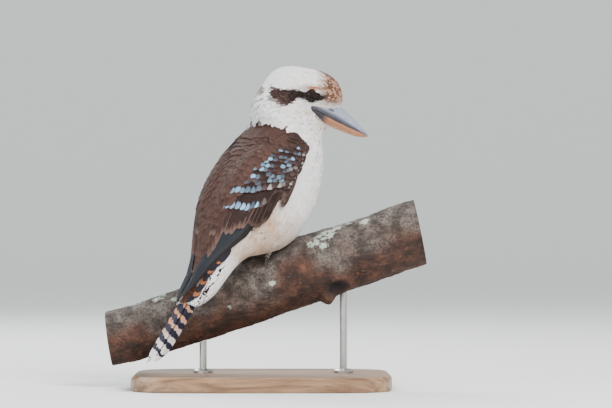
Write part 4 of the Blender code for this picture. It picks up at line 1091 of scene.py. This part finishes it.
# How high its underside lies over the skin, and how far out the flight feathers reach
UNDER_ALONG, UNDER_LIFT = (-205, -190, -170, -158, -145, -120, 0), (3.6, 3.2, 2.8, 2.3, 1.8, 1.3, 1.2)
EDGE_ALONG = (-207, -192, -170, -158, -145, -132, -120, -108, -80)
EDGE_ACROSS = (6, 12, 14, 18.5, 27, 37, 49, 58, 62)
# Where the blue and the pale tips are, along the spine and across from the middle of the back
BLUE_SPOTS = [(-24, 55), (-36, 46), (-35, 54), (-46, 55), (-49, 40), (-60, 39), (-65, 36), (-73, 35)]
BLUE_SPOTS += [(-65, 49), (-61, 55), (-89, 35), (-82, 42), (-91, 24), (-106, 22), (-106, 29), (-104, 38)]
BLUE_SPOTS = np.array(BLUE_SPOTS + [(-95, 47), (-80, 35), (-54, 40)])
PALE_SPOTS = [(-24, 64), (-30, 66), (-37, 68), (-45, 69), (-56, 70), (-66, 61), (-86, 53), (-75, 52)]
PALE_SPOTS = np.array(PALE_SPOTS + [(-43, 62)])
BLUE, PALE = np.array([(0.28, 0.52, 0.74), (0.55, 0.50, 0.50)])
DARK, BROWN, SLATE = np.array([(0.012, 0.009, 0.010), (0.028, 0.014, 0.012), (0.03, 0.034, 0.043)])
PINKISH = np.array([0.19, 0.115, 0.095])
# How far a feather's root sinks below the feathers round it, in mm
SUNK = 0.8


def bed_top(along, across):
    places = WING_BED[:, 0]
    inner, outer, thick = (np.interp(along, places, WING_BED[:, i]) for i in (1, 2, 3))
    share = np.clip((across - inner) / (outer - inner), 0, 1)
    return np.interp(along, UNDER_ALONG, UNDER_LIFT) + 0.6 + thick * np.sin(math.pi * share) ** 0.6


def along_line(corners, count):
    """This many points, evenly spaced along a line."""
    corners = np.asarray(corners, float)
    run = np.concatenate([[0], np.cumsum(np.linalg.norm(np.diff(corners, axis=0), axis=1))])
    places = np.linspace(0, run[-1], count)
    return np.stack([np.interp(places, run, corners[:, i]) for i in (0, 1)], -1)


LONG_STATIONS = np.array((0.0, 0.15, 0.35, 0.55, 0.72, 0.84, 0.92, 0.97, 1.0))
LONG_WIDTHS = np.array((0.5, 0.8, 0.96, 1.0, 0.98, 0.86, 0.66, 0.42, 0.12))
vane_paint = feather_material("flight_plumage", 0.55, Roughness=0.68, Specular_IOR_Level=0.16)[0]
VANE_COLUMNS, VANE_THICK = 5, 0.4


def bed_patch(paths, side):
    """Each feather's place on the unwrapped skin, from its root."""
    return np.column_stack([0.5 + side * paths[:, 0, 1] / UNWRAP_WIDE, unwrapped(paths[:, 0, 0])])


def bed_vanes(name, side, paths, halves, lifts, tilt, look, inner=0.4):
    """Feathers laid over the bed. paths and lifts have a place for each station, in mm. inner is how
    near they may come to the middle of the back."""
    run = unit(np.gradient(paths, axis=1))
    u = np.linspace(-1, 1, VANE_COLUMNS)
    u = np.concatenate([u, u[-2:0:-1]])
    top = np.arange(len(u)) < VANE_COLUMNS
    offset = side * u * halves[..., None]
    along = paths[..., 0, None] + run[..., 1, None] * offset
    across = np.maximum(paths[..., 1, None] - run[..., 0, None] * offset, inner)
    lean = tilt * (side * u + 1) / 2
    lift = lifts[..., None] + lean + (1 - u**2) * (0.06 * halves[..., None] + VANE_THICK * (top - 0.2))
    points = bed(along, side * across, lift)
    made = blades(name, vane_paint, points, side * u, LONG_STATIONS, look)
    shade_softly(made, points)
    return made


def wing_rows(side):
    """Every row of the wing, from the lowest to the highest. add lays one with its tips along a line:
    its sizes are length, half width, how far out the roots lie and how far the tips rise, in mm."""
    draw = np.random.default_rng(77 if side > 0 else 78)
    blues = BLUE_SPOTS if side > 0 else BLUE_SPOTS[BLUE_SPOTS[:, 1] > 30]
    rows = {}

    def place_row(row, paths, lifts, halves, look):
        rows.setdefault(row, []).append({"paths": paths, "lifts": lifts, "halves": halves, **look})

    def add(row, line, count, sizes, tint, edge_share, bend=1.0, spots=False, loose=0.5, back=0):
        length, half, out, rise = sizes
        tips = along_line(line, count) - back
        length = np.broadcast_to(length, count) * draw.uniform(0.95, 1.06, count)
        tips = tips + draw.normal(0, loose, tips.shape)
        behind = 1 - LONG_STATIONS
        along = tips[:, :1] + length[:, None] * behind
        across = tips[:, 1:] + out * behind**bend
        lifts = bed_top(along, across) - SUNK + (rise + SUNK) * LONG_STATIONS**0.9
        halves = np.full((count, 1), half) * LONG_WIDTHS
        tint = tint * draw.uniform(0.85, 1.18, (count, 1))
        near, far = (np.linalg.norm(tips[:, None] - at, axis=2).min(1) for at in (blues, PALE_SPOTS))
        blue = hump(near, 0, 3.3) * 1.3 * draw.choice((0.3, 1.0, 1.0, 1.0), count)
        pale = hump(far, 0, 3.0) * 0.7
        spot = np.where((blue > pale)[:, None], BLUE, PALE) * draw.uniform(0.85, 1.15, (count, 1))
        share = np.clip(np.maximum(blue, pale), 0, 1) * spots
        paths = np.stack([along, across], -1)
        look = look_of(tint, length, bed_patch(paths, side), PINKISH, edge_share, spot, share)
        place_row(row, paths, lifts, halves, look)

    # Primaries fan a little, and each lies over the next lower one.
    shares = LONG_STATIONS
    widths = 4.6 * np.interp(shares, (0, 0.35, 0.7, 0.92, 1), (0.6, 0.95, 1.0, 0.7, 0.15))
    for k, tip in enumerate(np.linspace(-172, -206, 9)):
        along = -90 + (tip + 90) * shares
        across = np.interp(along, EDGE_ALONG, EDGE_ACROSS) - (5.4 + 0.95 * k) * (1 - 0.45 * shares)
        lifts = np.interp(along, UNDER_ALONG, UNDER_LIFT) + 0.1 + 0.42 * k * np.minimum(1, 0.5 + shares)
        tint = (DARK if k < 5 else SLATE * (1.05 - 0.05 * k))[None]
        paths = np.stack([along, across], -1)[None]
        look = look_of(tint, -90 - tip, bed_patch(paths, side), np.array([0.04, 0.034, 0.034]), 0.4)
        place_row("primaries", paths, lifts[None], widths[None], look)
    line = [(-118, 41), (-127, 31), (-131, 24), (-132.5, 17), (-135, 9)]
    add("secondaries", line, 9, (46, 4.6, 10, 2.2), BROWN * 1.15, 0.7, bend=1.4)
    line = [(-141, 18), (-150, 14), (-159, 10), (-168, 6)]
    add("tertials", line, 5, (62, 5.2, 8, 2.6), MANTLE * 0.85, 0.55, bend=1.4)
    line = [(-101, 62.5), (-108, 58), (-112, 52.5), (-112, 47)]
    add("primary_coverts", line, 6, (34, 4.4, 3, 1.6), BROWN * 0.75, 0.35)
    line = [(-109, 14), (-107, 25), (-104, 38), (-97, 47), (-90, 54)]
    add("greater_coverts", line, 11, (28, 4.6, 4, 1.9), BROWN * 0.8, 0.3, spots=True)
    add("alula", [(-68, 71), (-73, 73.5), (-78, 75.5)], 4, (32, 4.0, -2, 1.6), BROWN * 0.7, 0.45)
    line = [(-93, 22), (-90, 31), (-84, 40), (-77, 49), (-70, 56), (-63, 62)]
    add("median_coverts", line, 11, (24, 4.4, 4.5, 2.2), BROWN, 0.25, spots=True)
    for j in range(8):
        line = [(-80 + 7.2 * j, 33 + 1.0 * j), (-57 + 5.6 * j, 66 - 0.6 * j)]
        sizes, tint = (21 - 1.1 * j, 4.0 - 0.14 * j, 3.5, 2.3), BROWN * (0.95 + 0.05 * j)
        add("lesser_coverts", line, 9 - j // 3, sizes, tint, 0.22, spots=True, loose=1.1)
    line = [(-20, 62), (-30, 66.5), (-42, 69.5), (-54, 71), (-64, 71)]
    for back, count in ((4.5, 9), (0.5, 12)):
        sizes = (12, 2.9, 0.5, 1.5)
        add("marginal_coverts", line, count, sizes, BROWN * 0.75, 0.3, spots=True, back=(0, back))
    line = [(-14, 44), (-11, 52), (-15, 60)]
    for back in (8, 4, 0):
        add("marginal_coverts", line, 6, (9, 3.0, 0.5, 2.0), BROWN * 1.3, 0.3, back=(back, 0))
    lines = [((-123, 15), (-131, 3)), ((-113, 20), (-121, 3)), ((-103, 24), (-112, 3))]
    lines += [((-93, 28), (-102, 4)), ((-83, 32), (-93, 4)), ((-73, 34), (-84, 6))]
    lines += [((-63, 36), (-74, 9)), ((-53, 37.5), (-63, 13)), ((-43, 38.5), (-52, 18))]
    lines += [((-34, 39), (-41, 24)), ((-25, 39.5), (-30, 30))]
    for k, line in enumerate(lines):
        count = max(3, round(np.linalg.norm(np.subtract(*line)) / 5.4) + 1)
        sizes = (np.interp(k, (0, 4, 10), (31, 27, 17)), np.interp(k, (0, 10), (5.6, 4.4)), 5, 2.4)
        add("scapulars", line, count, sizes, MANTLE * (0.95 + 0.03 * k), 0.14, loose=1.9)
    return rows


for name, side in (("wing_right", 1), ("wing_left", -1)):
    rows = np.arange(-123, -9.4, 1.6)
    inner, outer = (np.interp(rows, WING_BED[:, 0], WING_BED[:, i]) for i in (1, 2))
    across = inner[:, None] + (outer - inner)[:, None] * np.linspace(0, 1, 25)
    along = np.broadcast_to(rows[:, None], across.shape)
    top = bed(along, side * across, bed_top(along, across))
    bottom = bed(along, side * across, np.interp(along, UNDER_ALONG, UNDER_LIFT))
    ring = np.concatenate([top, bottom[:, -2:0:-1]], 1)[::-1]
    ring = ring[:, ::-1] if side < 0 else ring
    look = look_of(np.array([[0.05, 0.03, 0.027]]), 114, np.array([[0.5 + side * 0.1, 0.6]]))
    arm = blades(name + "_arm", vane_paint, ring[None], 0.5, np.linspace(0, 1, len(rows)), look)
    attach(arm, "root")
    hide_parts(name)
    for row, parts in wing_rows(side).items():
        look = {key: np.concatenate([part[key] for part in parts]) for key in parts[0]}
        tilt = {"primaries": 0.35, "scapulars": 0.45}.get(row, 0.9)
        made = bed_vanes(f"{name}_{row}", side, look["paths"], look["halves"], look["lifts"], tilt, look)
        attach(made, "root")

# Long loose feathers of the mantle lie over the middle of the back and hide where the wings meet.
draw = np.random.default_rng(91)
paths, lengths, halves = [], [], []
for tip_along in np.arange(-174.4, -20, 6.2):
    reach = float(np.interp(tip_along, (-174, -160, -128, -100, -60, -20), (4, 4.8, 9, 15, 24, 34)))
    for across in np.arange(-reach, reach + 0.1, 4.6):
        across += draw.normal(0, 0.8)
        tip = tip_along + draw.normal(0, 1.3) + 0.1 * abs(across)
        length = float(np.interp(tip, (-162, -128, -60, -20), (42, 34, 26, 15))) * draw.uniform(0.9, 1.1)
        behind = 1 - LONG_STATIONS
        paths.append(np.stack([tip + length * behind, across * (1 + 0.12 * behind)], -1))
        lengths.append(length)
        halves.append(np.interp(tip, (-128, -20), (5.0, 3.8)) * LONG_WIDTHS)
paths = np.stack(paths)
lifts = bed_top(paths[..., 0], np.abs(paths[..., 1])) - 0.6 + 3.6 * LONG_STATIONS
tint = MANTLE * draw.uniform(0.85, 1.2, (len(paths), 1))
look = look_of(tint, lengths, bed_patch(paths, 1), PINKISH, 0.14)
made = bed_vanes("mantle", 1, paths, np.stack(halves), lifts, 0.0, look, -60)
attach(made, "root")

# Barred rufous and dark coverts edge the tail's root, between the flight feathers and the white.
draw = np.random.default_rng(92)
SIDE_COVERTS, COVERT_LONG = 13, 15
for name, side in (("right", 1), ("left", -1)):
    tips = np.linspace(-151, -205, SIDE_COVERTS) + draw.normal(0, 1.1, SIDE_COVERTS)
    along = tips[:, None] + COVERT_LONG * (1 - LONG_STATIONS)
    across = np.interp(along, EDGE_ALONG, EDGE_ACROSS) + 1.1 + draw.normal(0, 0.35, (SIDE_COVERTS, 1))
    dark = (np.arange(SIDE_COVERTS) % 3 != 1)[:, None]
    tint = np.where(dark, (0.016, 0.013, 0.022), (0.27, 0.098, 0.04))
    tint = tint * draw.uniform(0.85, 1.15, (SIDE_COVERTS, 1))
    patch = np.column_stack([np.full(SIDE_COVERTS, 0.5 + side * 0.2), unwrapped(tips)])
    paths = np.stack([along, across], -1)
    halves = draw.uniform(2.6, 3.6, (SIDE_COVERTS, 1)) * LONG_WIDTHS
    lifts = 1.0 + 1.6 * np.broadcast_to(LONG_STATIONS, along.shape)
    look = look_of(tint, COVERT_LONG, patch)
    made = bed_vanes(f"side_coverts_{name}", side, paths, halves, lifts, 0.3, look)
    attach(made, "root")

# The closed tail: twelve long feathers barred blue-black on rufous and white, in two stacks side by
# side, with white coverts below and brown ones above their roots.
bar_paint, shader, colour = feather_material(
    "barred_plumage", 0.45, Roughness=0.66, Specular_IOR_Level=0.18
)
tree = shader.id_data
TAIL_STATIONS = np.array((0.0, 0.1, 0.2, 0.3, 0.4, 0.5, 0.6, 0.7, 0.8, 0.88, 0.94, 0.98, 1.0))
TAIL_ROOT, TAIL_HALF, BAR_LENGTH = -190, 5.0, 12.2
ORANGE, TAIL_WHITE = np.array([(0.55, 0.25, 0.12), (0.82, 0.78, 0.78)])
wobble = times(tree, noise_at(tree, 200.0), 4.6)
wave = math_of(tree, "SINE", plus(tree, attribute(tree, "phase"), wobble))
bar = plus(tree, wave, attribute(tree, "barred"))
barred = mix(tree, smooth_between(tree, bar, -0.12, 0.12), colour, (0.022, 0.021, 0.038))
tree.links.new(barred, shader.inputs["Base Color"])
tail_points, tail_phase, tail_barred, tail_base = [], [], [], []
draw = np.random.default_rng(51)
u = np.array([-1.0, -0.5, 0.0, 0.5, 1.0, 0.5, 0.0, -0.5])
top = np.arange(len(u)) < 5
widths = np.interp(TAIL_STATIONS, (0, 0.3, 0.7, 0.9, 0.96, 1), (0.6, 0.95, 1.0, 0.85, 0.62, 0.22))
offset = u * TAIL_HALF * widths[:, None]
for side in (1, -1):
    for k, tip in enumerate((-272, -271, -270, -269, -266, -262)):
        depth, out = (-0.8, 1.8) if side > 0 and k == 0 else (0.6 + 1.1 * k, 5.2 + 0.8 * k)
        along = (TAIL_ROOT + (tip + draw.normal(0, 0.8) - TAIL_ROOT) * TAIL_STATIONS)[:, None]
        ragged = draw.normal(0, 0.5, offset.shape) * (TAIL_STATIONS[:, None] > 0.9)
        ragged[:, 5:] = ragged[:, 1:4][:, ::-1]
        centre, _, forward, right = slice_frame((along + ragged * 1.4) * MM)
        lift = 0.35 * (side * u + 1) / 2 + (1 - u**2) * (0.5 + 0.45 * (top - 0.4))
        across = side * out + offset
        points = centre + forward * ((depth - lift) * MM)[..., None] + right * (across * MM)[..., None]
        strength = np.interp(along, (-272, -264, -250, -225, -205), (-1.2, -0.6, 0.0, 0.35, 0.6))
        tail_points.append(points)
        tail_phase.append((along + 0.5 * across) * 2 * math.pi / BAR_LENGTH + 0.5)
        tail_barred.append(np.broadcast_to(strength, offset.shape))
        tail_base.append(blend(ORANGE, TAIL_WHITE, (-228 - along) / 30 + 0.25 * (u > 0.6)))
count = len(tail_points)
patch = np.column_stack([np.linspace(0.4, 0.6, count), np.full(count, 0.25)])
look = look_of(np.ones((count, 3)), 80, patch, TAIL_WHITE, 0.25)
tail_points = np.stack(tail_points)
tail = blades("tail_rectrices", bar_paint, tail_points, u, TAIL_STATIONS, look)
shade_softly(tail, tail_points)
point_values(tail, "phase", np.stack(tail_phase))
point_values(tail, "barred", np.stack(tail_barred))
colours = with_share(np.stack(tail_base)).astype(np.float32)
tail.data.attributes["base"].data.foreach_set("color", colours.ravel())
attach(tail, "root")
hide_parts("tail")
